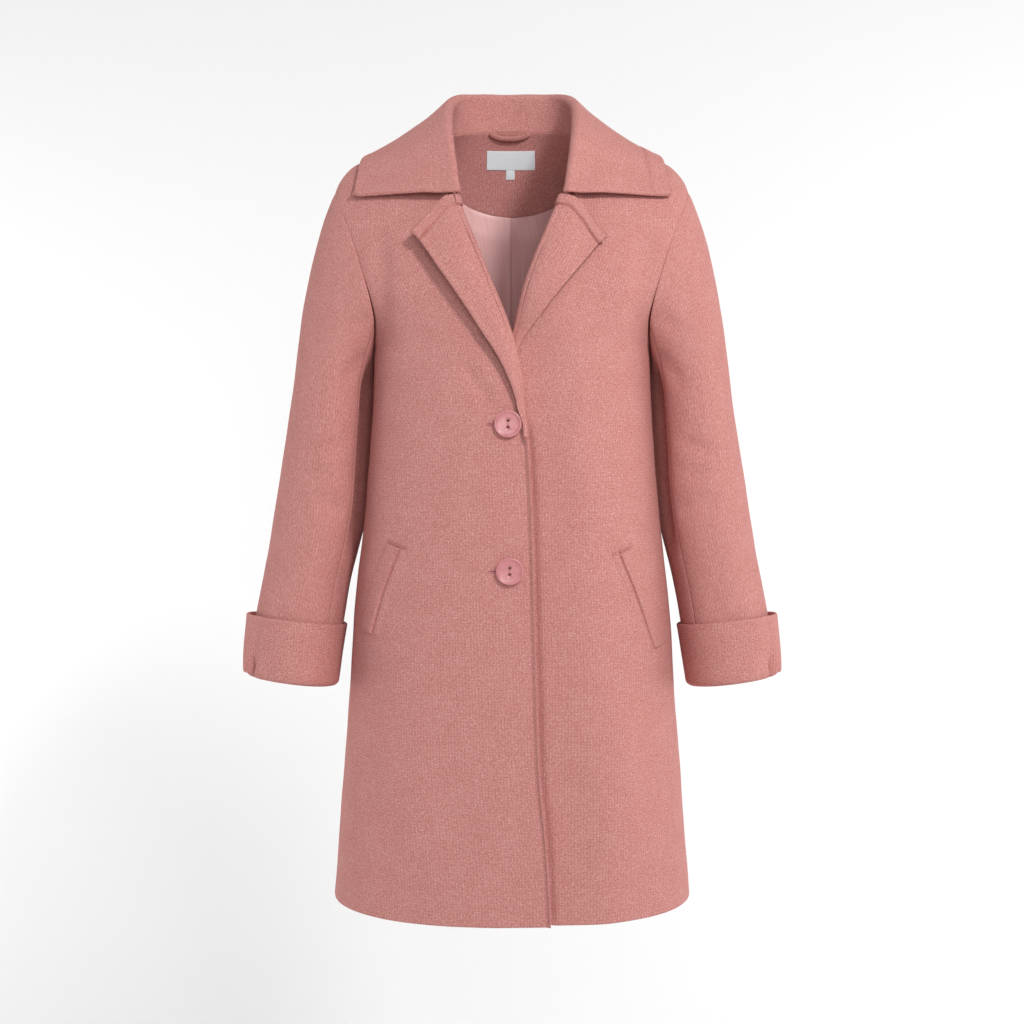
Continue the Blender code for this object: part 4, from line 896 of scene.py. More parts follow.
def back_grid():
    even = np.linspace(0, 1, BACK_COLUMNS + 1)
    half = (np.sin(even * math.pi / 2) + even) / 2      # columns closer together at the sides
    reach_share = np.concatenate([-half[:0:-1], half])
    top = neck_level(np.abs(reach_share) * ARMHOLE[-1].reach)
    upper_levels = armhole_levels(BACK, ARMHOLE_STEPS)
    lower = LOWER_LEVELS[:, None] + 0 * reach_share
    upper = upper_levels[:, None] * top
    lower_reach = half_width(BACK, LOWER_LEVELS)[:, None] * reach_share
    upper_reach = curve(ARMHOLE, upper_levels, "reach")[:, None] * reach_share
    return np.concatenate([lower_reach, upper_reach]), np.concatenate([lower, upper])


def side_dip(grid):
    """How far the cloth sinks towards the seams at its two sides."""
    return SEAM_DIP * hump(nearest_side(grid) / SEAM_DIP_WIDTH)


def make_back():
    reaches, levels = back_grid()
    points, normals = body_frame(BACK, reaches, levels)
    heights = points[..., 2]
    lift = crease_relief(BACK_CREASES, reaches, heights) + unevenness(reaches, heights, 3)
    lift = lift - side_dip(points)
    outer = points + normals * lift[..., None]
    outer = draw_in(outer, ("first_column", "last_column", "last_row"), SEAM_BULGE + SEAM_INSET)
    outer = draw_in(outer, ("first_row",), EDGE_BULGE)
    make_cloth("back", outer, outer - normals * WALL, SEAM_BULGE, "hung", ["front_right", "front_left"])


make_back()

# %% [markdown]
# A tailored sleeve is a bent tube of two pieces, an upper and an under sleeve, whose seams run down
# the inside of the arm at the front and the back. Its cap rises steeply from the armhole seam and
# then falls. Creases gather where the elbow would bend and where the arm leaves the body.

# %% The sleeves
CAP_ROWS = 40
TUBE_HEIGHTS = np.linspace(-0.301, -0.600, 82)
CAP_SPREAD = np.array([0.055, 0.0, 0.0])
CAP_OUTER_SHARE = 0.9       # how much of the arm's outer side the cap's rise takes in
SEWN_RUN = 0.035            # creases start this far below the armhole seam
ARM_RADIUS = 0.055
FRONT_SEAM_SHARE = 0.115    # places of the two seams, as shares of the way round from the underarm
BACK_SEAM_SHARE = 0.70
SleeveCrease = namedtuple("SleeveCrease", "turn height end_turn end_height width depth")
SLEEVE_CREASES = table_of(
    SleeveCrease,
    # turns are degrees round the arm: 0 is its outer side and 90 its front
    (158, -0.240, 160, -0.490, 0.0140, 0.0120),
    (118, -0.130, 132, -0.255, 0.0110, 0.0034),
    (140, -0.190, 95, -0.235, 0.0100, 0.0024),
    (145, -0.240, 100, -0.300, 0.0110, 0.0026),
    (130, -0.345, 60, -0.372, 0.0090, 0.0026),
    (125, -0.392, 45, -0.384, 0.0080, 0.0020),
    (140, -0.430, 75, -0.412, 0.0090, 0.0022),
    (60, -0.460, 30, -0.530, 0.0130, 0.0014),
    (120, -0.500, 80, -0.585, 0.0120, 0.0014),
    (30, -0.150, 45, -0.330, 0.0200, -0.0020),
    (-60, -0.170, -80, -0.300, 0.0140, 0.0026),
    (-120, -0.360, -60, -0.400, 0.0100, 0.0018),
    (-110, -0.440, -50, -0.425, 0.0100, 0.0015),
)


def tube_ring(height, angles, grow=0.0):
    table = SLEEVE[::-1]
    inner = curve(table, height, "inner") - grow
    outer = curve(table, height, "outer") + grow
    half_depth = curve(table, height, "half_depth") + grow
    x = (inner + outer) / 2 + (outer - inner) / 2 * np.cos(angles)
    y = curve(table, height, "middle_y") - half_depth * np.sin(angles)
    return np.stack(np.broadcast_arrays(x, y, height), axis=-1)


def sleeve_grid():
    front_levels = armhole_levels(FRONT, ARMHOLE_STEPS)
    back_levels = armhole_levels(BACK, ARMHOLE_STEPS)[-2:0:-1]
    front = body_frame(FRONT, curve(ARMHOLE, front_levels, "reach"), front_levels)[0]
    back = body_frame(BACK, curve(ARMHOLE, back_levels, "reach"), back_levels)[0]
    armhole = np.concatenate([front, back])
    angles = np.pi - 2 * np.pi * np.arange(len(armhole)) / len(armhole)
    first = tube_ring(TUBE_HEIGHTS[0], angles)
    second = tube_ring(TUBE_HEIGHTS[0] - 0.01, angles)
    drop = np.linalg.norm(first - armhole, axis=1, keepdims=True)
    outward = smooth_step((1 + np.cos(angles)) / CAP_OUTER_SHARE)
    leave = (first - armhole) + CAP_SPREAD * outward[:, None]
    arrive = unit(second - first) * drop
    rows = []
    for t in np.linspace(0, 1, CAP_ROWS + 1):
        rows.append(armhole * (2 * t ** 3 - 3 * t ** 2 + 1) + leave * (t ** 3 - 2 * t ** 2 + t)
                    + first * (3 * t ** 2 - 2 * t ** 3) + arrive * (t ** 3 - t ** 2))
    rows += [tube_ring(height, angles) for height in TUBE_HEIGHTS[1:]]
    return np.array(rows), angles


def sleeve_relief(grid, angles, seed):
    """Creases of a sleeve, with places round the arm measured in metres along the cloth."""
    turns = (np.degrees(angles) + 180) % 360 - 180
    round_arm = np.radians(turns)[None] * ARM_RADIUS + 0 * grid[..., 0]
    heights = grid[..., 2]
    rows = [Crease(math.radians(c.turn) * ARM_RADIUS, c.height, math.radians(c.end_turn) * ARM_RADIUS,
                   c.end_height, c.width, c.depth) for c in SLEEVE_CREASES]
    return crease_relief(rows, round_arm, heights) + unevenness(round_arm, heights, seed)


def make_sleeve(side):
    grid, angles = sleeve_grid()
    normals = grid_normals(grid, wrap=True)
    if np.sum(normals * (grid - grid.mean(axis=1, keepdims=True))) < 0:
        normals = -normals
    steps = grid.shape[1]
    front_seam = round(FRONT_SEAM_SHARE * steps)
    back_seam = round(BACK_SEAM_SHARE * steps)
    sewn = smooth_step(run_along(grid, 0) / SEWN_RUN)
    grid = grid + normals * (sewn * sleeve_relief(grid, angles, side + 5))[..., None]
    upper = list(range(front_seam, back_seam + 1))
    under = list(range(back_seam, steps)) + list(range(front_seam + 1))
    for name, columns in (("upper_sleeve_", upper), ("under_sleeve_", under)):
        outer = grid[:, columns]
        dip = side_dip(outer) + SEAM_DIP * hump(run_along(outer, 0) / SEAM_DIP_WIDTH)
        outer = outer - normals[:, columns] * dip[..., None]
        outer = draw_in(outer, ("first_row", "first_column", "last_column"), SEAM_BULGE + SEAM_INSET)
        inner = outer - normals[:, columns] * WALL
        make_cloth(name + SIDE_WORD[side], outer, inner, SEAM_BULGE, "hung",
                   ["front_" + SIDE_WORD[side], "back"], side)


for side in (RIGHT, LEFT):
    make_sleeve(side)

# %% [markdown]
# The cuff is the sleeve's end, turned up outside. One piece of cloth runs from a lip inside the
# wrist, round the fold, to its top edge, and it laps at the outer side of the arm, where it was
# left open to turn: a soft crease there ends in a short sharp slit at the fold.

# %% The cuffs
CUFF_COLUMNS = 264
CUFF_TOP = -0.5465
CUFF_FOLD = -0.6085
CUFF_LIP = 0.020
CUFF_FLARE = 0.0012
CUFF_ROLL = 0.0042
CUFF_OUTER_FLARE = 0.005
VENT_ANGLE = math.radians(37)
VENT_LEAN = math.radians(8)      # the crease leans this much further in at the top
VENT_STEP = 0.0042          # the lap stands this proud
VENT_RISE = 0.25            # radians, as the next two are
VENT_WIDTH = 0.3
VENT_FALL = 0.9
VENT_TOP_SHARE = 0.15       # of the step that is left at the cuff's top edge
VENT_SLIT_DEPTH = 0.0100
VENT_SLIT_WIDTH = 0.060     # radians
VENT_SLIT_OFFSET = 0.02     # radians
VENT_SLIT_HEIGHT = 0.030
VENT_SLIT_DROP = 0.004
VENT_CREASE_SHARE = 0.22    # depth of the soft crease above the slit, as a share of the slit's
VENT_CREASE_WIDER = 1.2     # and how much wider it is
FOLD_TURN = 78              # degrees that the fold turns each way
CUFF_INNER_STEP = 0.0025
CUFF_TILT = 0.0130          # the cuff drops this much towards the inner side of the arm
WRIST_RADIUS = 0.05


def make_cuff(side):
    angles = 2 * np.pi * np.arange(CUFF_COLUMNS) / CUFF_COLUMNS
    turned = np.where(angles > np.pi, angles - 2 * np.pi, angles)
    path = [(CUFF_FOLD + CUFF_LIP * share, -WALL / 2 - CUFF_ROLL) for share in np.linspace(1, 0, 8)]
    for turn in np.radians(np.linspace(-FOLD_TURN, FOLD_TURN, 11)):
        path.append((CUFF_FOLD - CUFF_ROLL * math.cos(turn), -WALL / 2 + CUFF_ROLL * math.sin(turn)))
    band_start = len(path)
    for share in np.linspace(0, 1, 30):
        path.append((CUFF_FOLD + share * (CUFF_TOP - CUFF_FOLD),
                     -WALL / 2 + CUFF_ROLL + CUFF_FLARE * share))
    rows = []
    for place, (height, stand_off) in enumerate(path):
        share = max(0.0, (height - CUFF_FOLD) / (CUFF_TOP - CUFF_FOLD))
        from_vent = VENT_ANGLE + VENT_LEAN * share - turned
        lap = smooth_step(from_vent / VENT_RISE) * smooth_step(1 - (from_vent - VENT_WIDTH) / VENT_FALL)
        lap = lap * (VENT_TOP_SHARE + (1 - VENT_TOP_SHARE) * smooth_step(1.15 - share))
        ring = tube_ring(max(height, SLEEVE[-1].height), angles, stand_off)
        ring[:, 2] = height
        out = unit((ring - ring.mean(axis=0)) * np.array([1, 1, 0]))
        if place >= band_start:
            ring[:, 0] += CUFF_OUTER_FLARE * share * np.clip(np.cos(angles), 0, 1)
            ring += out * (VENT_STEP * lap)[:, None]
        low = smooth_step(1 - (height - CUFF_FOLD + VENT_SLIT_DROP) / VENT_SLIT_HEIGHT)
        slit_width = VENT_SLIT_WIDTH * (1 + VENT_CREASE_WIDER * (1 - low))
        slit = VENT_SLIT_DEPTH * hump((from_vent + VENT_SLIT_OFFSET) / slit_width)
        slit = slit * (VENT_CREASE_SHARE + (1 - VENT_CREASE_SHARE) * low)
        if place >= band_start - 5:     # from the fold's lowest line outward
            ring -= out * slit[:, None]
        ring += out * unevenness(angles * WRIST_RADIUS, height + 0 * angles, side + 9)[:, None]
        ring[:, 2] -= CUFF_TILT * (1 - np.cos(angles)) / 2
        ring[:, 0] += CUFF_INNER_STEP * np.clip(-np.cos(angles), 0, 1)
        rows.append(ring)
    middle = np.array(rows)
    normals = grid_normals(middle, wrap=True)
    half = normals * WALL / 2
    sleeves = ["upper_sleeve_" + SIDE_WORD[side], "under_sleeve_" + SIDE_WORD[side]]
    make_cloth("cuff_" + SIDE_WORD[side], middle + half, middle - half, EDGE_BULGE, "folded", sleeves,
               side, wrap=True)


for side in (RIGHT, LEFT):
    make_cuff(side)

# %% [markdown]
# The collar is a stand and a fall in one: it rises from the neck seam, rolls over the fold line and
# lies out over the shoulders, down to two pointed ends in front. Its section is worked out at many
# places round the neck, each one a short path from the seam over the roll to the outer edge.

# %% The collar
COLLAR_BULGE = -0.015
COLLAR_EDGE_LIFT = 0.0015
COLLAR_CLEARANCE = 0.0030
COLLAR_ROLL = 0.0060        # mid-line radius of the fold, smaller at the front ends
NECK_STEP = 0.0032
COLLAR_STEPS = 96
SEAM = 0.0003
STITCH_LINE = 0.0235        # from the collar's outer edge to the stitched line
STITCH_LINE_DEPTH = 0.0015
STITCH_LINE_WIDTH = 0.0020
COLLAR_CORNER = 0.0080
COLLAR_LIFT = 0.0034        # the pressed edge springs up a little in front
COLLAR_RIDGE = 0.0005       # the turned edge stands up this much
COLLAR_BAND_RISE = 0.0009   # and so does the band outside the stitched line
COLLAR_SPRING_RUN = 0.030   # how far in from a front end the edge springs up
COLLAR_SPRING_DEEP = 0.11   # and from the outer edge towards the fold
COLLAR_SIDE_SPRING = 0.15   # share of the spring along the rest of the outer edge
COLLAR_SIDE_RUN = 0.035
FOLD_LOOK = 0.03            # share of the run each way over which the fold's direction is taken
NARROWING = 0.3             # share of the run over which the roll tightens towards the front
STAND_BOW = 0.001
RIDGE_PLACE = 0.0035
RIDGE_WIDTH = 0.0040


def seat_on_body(reach, angle):
    face, level = level_at_angle(angle)
    points, normals = body_frame(face, np.array([reach]), np.array([level]))
    return points[0], normals[0]


COLLAR_SEATS = [seat_on_body(row.edge_reach, row.edge_angle) for row in COLLAR]
COLLAR_EDGE = np.array([point + normal * (LAYER_GAP + WALL / 2 + COLLAR_EDGE_LIFT)
                        for point, normal in COLLAR_SEATS])
COLLAR_PLACES = np.array([row.share for row in COLLAR])


def clear_of_body(points, clearance):
    """The points, moved away from the chest's middle until they are this far off the body."""
    moved = points.copy()
    for face in (FRONT, BACK):
        on_face = (points[:, 1] < RIDGE_Y) == (face == FRONT)
        if not on_face.any():
            continue
        at = points[on_face]
        reach = np.minimum(np.abs(at[:, 0]), 0.203)
        power = ROLL_POWER[face]
        rise = curve(SHOULDER, reach, "height") - CHEST_HEIGHT
        level = np.clip((at[:, 2] - CHEST_HEIGHT) / rise, 0, 1)
        angle = section_angle(face, reach, level)
        deepest = getattr(BODY[-1], DEPTH_COLUMN[face])
        depth = deepest * np.sin(angle) ** (2 / SECTION_POWER) - face * RIDGE_Y
        out = np.stack([at[:, 1] - RIDGE_Y, np.maximum(at[:, 2] - CHEST_HEIGHT, 0)], axis=-1)
        size = ((np.abs(out[:, 0]) / depth) ** power + (out[:, 1] / rise) ** power) ** (1 / power)
        run = np.linalg.norm(out, axis=-1)
        wanted = run / size + np.maximum(run - run / size, clearance)
        at = at.copy()
        at[:, 1:] = np.array([RIDGE_Y, CHEST_HEIGHT]) + out * (wanted / run)[:, None]
        moved[on_face] = at
    return moved


print("the collar's outer edge at its end:", COLLAR_EDGE[-1])

# %% The collar's section


def collar_row(share, *columns):
    return [float(curve(COLLAR, share, column)) for column in columns]


def fold_point(share):
    reach, y, height = collar_row(abs(share), "fold_reach", "fold_y", "fold_height")
    return np.array([math.copysign(reach, share), y, height])


def collar_section(share):
    """Mid-line of the collar across its fold, from the neck seam to its outer edge."""
    behind, before = np.clip([share - FOLD_LOOK, share + FOLD_LOOK], -1, 1)
    tangent = unit(fold_point(before) - fold_point(behind))
    neck, neck_normal = seat_on_body(*collar_row(share, "neck_reach", "neck_angle"))
    neck = neck - neck_normal * WALL / 2
    edge = through(COLLAR_PLACES, COLLAR_EDGE, share)
    outdir = (edge - neck) * np.array([1, 1, 0])
    outdir = unit(outdir - tangent * np.dot(outdir, tangent))
    up = unit(np.cross(tangent, outdir))
    tighter = smooth_step((share - 1 + NARROWING) / NARROWING)
    roll = COLLAR_ROLL + (ROLL_RADIUS - COLLAR_ROLL) * tighter
    centre = fold_point(share) - up * roll
    stand_top = centre - outdir * roll
    neck = neck - outdir * NECK_STEP + unit(stand_top - neck) * (SEAM + LAYER_GAP)
    path = []
    for t in np.linspace(0, 1, 12)[:-1]:
        path.append(neck + (stand_top - neck) * t + outdir * STAND_BOW * math.sin(math.pi * t))
    halfway = 0.5 + COLLAR_BULGE * 4 * share * (1 - share) * np.array([1, 1, -1])
    fall = (edge - centre) * halfway
    end = math.atan2(np.dot(fall, outdir), np.dot(fall, up))
    for turn in np.linspace(0, end, 13):
        start = centre - outdir * roll * math.cos(turn) + up * roll * math.sin(turn)
        path.append(start)      # the last one is where the fall starts
    control = start + (edge - start) * halfway
    t = 1 - (1 - np.linspace(0, 1, 80)[1:, None]) ** 1.15
    fall = start * (1 - t) ** 2 + control * 2 * t * (1 - t) + edge * t * t
    return np.concatenate([np.array(path), clear_of_body(fall, COLLAR_CLEARANCE)])


print("points across the collar:", len(collar_section(0.5)))

# %% One collar


def make_collar():
    shares = 1 - (1 - np.linspace(0, 1, COLLAR_STEPS)) ** 1.1
    left = np.array([collar_section(share) for share in shares]).transpose(1, 0, 2)
    right = left[:, :0:-1] * np.array([-1, 1, 1])
    middle = np.concatenate([right, left], axis=1)
    normals = -grid_normals(middle)
    to_edge = run_left(middle, 0)
    on_left = smooth_step((middle[..., 0] - 0.02) / 0.05) * smooth_step((0.03 - middle[..., 1]) / 0.05)
    line = STITCH_LINE_DEPTH * on_left * hump((to_edge - STITCH_LINE) / STITCH_LINE_WIDTH)
    to_end = nearest_side(middle)
    ridge = COLLAR_RIDGE * (hump((to_edge - RIDGE_PLACE) / RIDGE_WIDTH)
                            + hump((to_end - RIDGE_PLACE) / RIDGE_WIDTH))
    ridge = ridge + COLLAR_BAND_RISE * on_left * smooth_step((STITCH_LINE - to_edge) / STITCH_LINE_WIDTH)
    moved = ridge - line + unevenness(middle[..., 0] * 1.4, middle[..., 1] + middle[..., 2], 4)
    in_front = smooth_step((0.05 - middle[..., 1]) / 0.06)
    at_end = hump(to_end / COLLAR_SPRING_RUN) * smooth_step((COLLAR_SPRING_DEEP - to_edge) / 0.03)
    spring = np.maximum(COLLAR_SIDE_SPRING * hump(to_edge / COLLAR_SIDE_RUN), at_end)
    middle = middle + normals * (COLLAR_LIFT * in_front * spring)[..., None]
    middle = draw_in(middle, ("last_row", "first_column", "last_column"), EDGE_BULGE)
    middle = round_corners(middle, COLLAR_CORNER, ((-1, 0), (-1, -1)))
    outer = middle + normals * (WALL / 2 + moved)[..., None]
    inner = middle - normals * WALL / 2
    make_cloth("collar", outer, inner, EDGE_BULGE, "folded", ["back", "front_right", "front_left"])


make_collar()

# %% [markdown]
# A lapel is the front's facing, turned out over the roll line. It starts as a narrow strip inside
# the coat, rolls round the front's edge and lies back on the chest as far as its notched tip.
# Its upper edge, where it meets the collar, is a folded band with a stitched line under it.

# %% The lapels
LAPEL_ROWS = np.concatenate([np.linspace(0, 0.88, 76), np.linspace(0.88, 1, 49)[1:]])
LAPEL_ACROSS = np.linspace(0, 1, 46)
BAND_WIDTH = 0.0125         # the folded band along the lapel's upper edge
BAND_RISE = 0.0017
BAND_EASE = 0.0015
BAND_GROOVE_PLACE = 0.0010  # below the band
BAND_GROOVE_WIDTH = 0.0013
BAND_GROOVE = {RIGHT: 0.0036, LEFT: 0.0028}
LAPEL_RIDGE = 0.0012
FACE_OUT = {RIGHT: 1, LEFT: -1}     # a mirrored grid's normals face the other way
SLOPE_STEP = 0.004
NOTCH_PLACE = 0.16          # share of the way across where the collar's corner meets the lapel
NOTCH_RUN = 0.14            # share of the lapel's height over which its top bends to the notch
LAPEL_CORNER = 0.0055
LAPEL_SPRING = {RIGHT: 0.0090, LEFT: 0.0070}    # how far the outer edge stands off the chest
LAPEL_SPRING_RUN = 0.034
LAPEL_LOFT_SHARE = 0.10     # a narrow lapel is lofted less
LAPEL_EDGE_RISE = 0.0015


def on_front(side, reach, height, out):
    reach, height = np.broadcast_arrays(np.asarray(reach, float), np.asarray(height, float))
    points, normals = body_frame(FRONT, reach, level_at(reach, height))
    lift = out + front_relief(side, reach, height)
    return points + normals * np.broadcast_to(lift, reach.shape)[..., None]


def on_right_front(reach, height, out):
    """Places in the world on the wearer's right front, which carries the buttons."""
    return mirrored(on_front(RIGHT, reach, height, out), RIGHT)


def lapel_middle(side):
    start = ROLL_START[side]
    lowest = LAPEL[side][0].share
    rows = []
    for share in lowest + (1 - lowest) * LAPEL_ROWS:
        height = start + share * (GORGE_HEIGHT - start)
        before, roll_reach, after = curve(EDGE[side], height + SLOPE_STEP * np.array([-1, 0, 1]), "reach")
        along = unit(np.array([after - before, 2 * SLOPE_STEP]))
        across = np.array([along[1], -along[0]])
        seat = np.array([roll_reach, height]) + across * ROLL_REACH
        tip = np.array([float(curve(LAPEL[side], share, name)) for name in ("reach", "height")])
        inside = LAPEL_INSIDE * min(1, 0.25 + max(share, 0) * 3)
        places = [(seat + across * inside * t, -WALL / 2 - ROLL_RADIUS) for t in np.linspace(1, 0.1, 7)]
        for turn in np.radians(np.linspace(-90, 80, 12)):
            beside = seat - across * ROLL_RADIUS * math.cos(turn)
            places.append((beside, -WALL / 2 + ROLL_RADIUS * math.sin(turn)))
        loft = min(LAPEL_LOFT, LAPEL_LOFT_SHARE * float(np.linalg.norm(tip - seat)))
        corner = np.array(NOTCH[side]) - (seat + (tip - seat) * NOTCH_PLACE)
        corner = corner * smooth_step((share - 1 + NOTCH_RUN) / NOTCH_RUN)
        for t in LAPEL_ACROSS:
            bump = min(t / NOTCH_PLACE, (1 - t) / (1 - NOTCH_PLACE))
            rise = loft * math.sin(math.pi * t ** 0.7) + LAPEL_EDGE_RISE * t
            places.append((seat + (tip - seat) * t + corner * bump, -WALL / 2 + ROLL_RADIUS + rise))
        where = np.array([place for place, _ in places])
        rows.append(on_front(side, where[:, 0], where[:, 1], np.array([lift for _, lift in places])))
    return np.array(rows)


print("rows along a lapel:", len(LAPEL_ROWS))

# %% Both lapels


def make_lapel(side):
    middle = mirrored(lapel_middle(side), side)
    normals = grid_normals(middle) * FACE_OUT[side]
    to_top = run_left(middle, 0)
    to_edge = run_left(middle, 1)
    past_band = to_top - BAND_WIDTH
    band = BAND_RISE * smooth_step(1 - past_band / BAND_EASE)
    groove = BAND_GROOVE[side] * hump((past_band - BAND_GROOVE_PLACE) / BAND_GROOVE_WIDTH)
    edge = LAPEL_RIDGE * hump((to_edge - RIDGE_PLACE) / RIDGE_PLACE)
    moved = band - groove + edge + unevenness(to_edge, to_top, side + 7)
    width = run_along(middle, 1)[:, -1:]
    spring = LAPEL_SPRING[side] * smooth_step(width / 0.06 - 0.3) * hump(to_edge / LAPEL_SPRING_RUN)
    middle = middle + normals * spring[..., None]
    middle = draw_in(middle, ("last_row", "last_column"), EDGE_BULGE)
    middle = round_corners(middle, LAPEL_CORNER, ((-1, -1),))
    outer = middle + normals * (WALL / 2 + moved)[..., None]
    inner = middle - normals * (WALL / 2)
    word = SIDE_WORD[side]
    make_cloth("lapel_" + word, outer, inner, EDGE_BULGE, "folded", ["front_" + word])


for side in (RIGHT, LEFT):
    make_lapel(side)

# %% [markdown]
# The pockets are slanted slits, each closed by a welt, a folded strip sewn on along its long sides.

# %% The pocket welts
POCKET_WIDTH = 0.016
WeltPoint = namedtuple("WeltPoint", "across out")
WELT_SECTION = table_of(
    WeltPoint,
    (-0.72, -0.0008), (-0.60, 0.0002), (-0.50, 0.0009), (-0.36, 0.0014), (-0.20, 0.0018),
    (0.00, 0.0021), (0.20, 0.0024), (0.34, 0.0027), (0.40, 0.0027), (0.43, 0.0024), (0.45, 0.0015),
    (0.46, 0.0004), (0.47, -0.0006), (0.58, -0.0006), (0.59, 0.0004), (0.61, 0.0011),
    (0.66, 0.0014), (0.78, 0.0011), (0.95, 0.0004), (1.15, -0.0008))
LOWEST_WELT = -0.0005       # depth of the groove across the welt's top end
TOP_GROOVE_PLACE = 0.0024
TOP_GROOVE_WIDTH = 0.0010
WELT_BASE = -0.0030
WELT_CORNER = 0.0030
WELT_INSET = 0.0010
WELT_BULGE = 0.0015


def make_pocket(side):
    shares = np.concatenate([np.linspace(0, 0.08, 16), np.linspace(0.08, 1, 56)[1:]])
    middle = np.stack([curve(POCKET[side], shares, name) for name in ("reach", "height")], axis=-1)
    along = unit(np.gradient(middle, axis=0))
    across = np.stack([-along[:, 1], along[:, 0]], axis=-1)
    spread = np.array([row.across for row in WELT_SECTION])
    raised = np.array([row.out for row in WELT_SECTION])
    if np.mean(across[:, 0]) > 0:
        across = -across
    places = middle[:, None] + across[:, None] * (spread * POCKET_WIDTH)[None, :, None]
    follow = crease_relief(FRONT_CREASES[side], places[..., 0], places[..., 1])
    follow = follow + unevenness(places[..., 0], places[..., 1], side)
    from_top = np.linalg.norm(middle - middle[0], axis=-1)[:, None]
    raised = raised - (raised - LOWEST_WELT) * hump((from_top - TOP_GROOVE_PLACE) / TOP_GROOVE_WIDTH)
    edges = ("first_row", "last_row", "first_column", "last_column")
    corners = ((0, 0), (0, -1), (-1, 0), (-1, -1))
    faces = []
    for out in (raised, WELT_BASE):
        face = draw_in(on_front(side, places[..., 0], places[..., 1], out + follow), edges, WELT_INSET)
        faces.append(round_corners(face, WELT_CORNER, corners))
    word = SIDE_WORD[side]
    make_cloth("pocket_welt_" + word, *faces, WELT_BULGE, "laid", ["front_" + word], side)


for side in (RIGHT, LEFT):
    make_pocket(side)

# %% [markdown]
# Inside the neck a wool facing covers the seam, and the satin lining is sewn to its lower edge. The
# lining is cut a little too wide and laid in a pleat down the middle, which gives the wearer room:
# one side lies forward over the other, so the pleat is a fine upright line with a shadow beside it.

# %% Inside the neck
FACING_WALL = 0.0015
FACING_BULGE = 0.0006
FACING_OUT = -(WALL + 0.0026)
FacingEdge = namedtuple("FacingEdge", "reach height")
FACING_EDGE = table_of(
    FacingEdge,
    (0.000, -0.072), (0.030, -0.068), (0.060, -0.057), (0.085, -0.040))
FACING_REACH = 0.074
FACING_TOP_LEVEL = 0.998
FACING_TOP_STEP = -0.0050
LINING_GAP = 0.0046
LINING_TOP_REACH = 0.150
LINING_TOP_STEP = 0.0005
LINING_HEM = -0.845
PLEAT_STEP = 0.0020
PLEAT_TURN = 0.0080         # half width of the cloth folded over in the pleat
PLEAT_SHIFT = -0.0092       # the pleat was pressed a little to one side
PLEAT_SPREAD = 0.4          # share of the half width over which that shift fades
PLEAT_SETTLE = 0.22         # and over which the forward side settles back
PLEAT_LAYER = 0.0030        # the side that lies forward over the other
RIPPLES = (0.0012, 0.0010)  # long ones below, finer ones near the neck
FACING_HOLD = 0.35          # share of the lining's looseness that is left at the facing's edge
HELD_ROWS = 6
LINING_FINE = 0.0003        # a fold of satin is far thinner than its share of the solid
LINING_BULGE = 0.0001
LINING_HALF = 0.94          # the lining stops short of the side seams
PleatPoint = namedtuple("PleatPoint", "turn deeper")
PLEAT = table_of(
    PleatPoint,
    (0.0, 0.0), (0.9, 0.00015), (1.0, 0.0006), (0.6, 0.0011), (0.0, 0.0014),
    (-0.6, 0.0016), (-1.0, 0.0021), (-0.6, 0.0026), (0.0, 0.0028), (1.0, PLEAT_LAYER))


def facing_low(reach):
    return curve(FACING_EDGE, np.minimum(np.abs(reach), FACING_REACH), "height")


def make_neck_facing():
    reaches = np.linspace(-FACING_REACH, FACING_REACH, 76)
    top = np.minimum(neck_level(np.abs(reaches)) - FACING_TOP_STEP, FACING_TOP_LEVEL)
    bottom = level_at(reaches, facing_low(reaches))
    shares = np.linspace(0, 1, 34)[:, None]
    levels = bottom * (1 - shares) + top * shares
    points, normals = body_frame(BACK, reaches + 0 * levels, levels)
    lift = FACING_OUT + unevenness(points[..., 0], points[..., 2], 6)
    outer = points + normals * lift[..., None]
    make_cloth("neck_facing", outer, outer - normals * FACING_WALL, FACING_BULGE, "hung", ["back"])


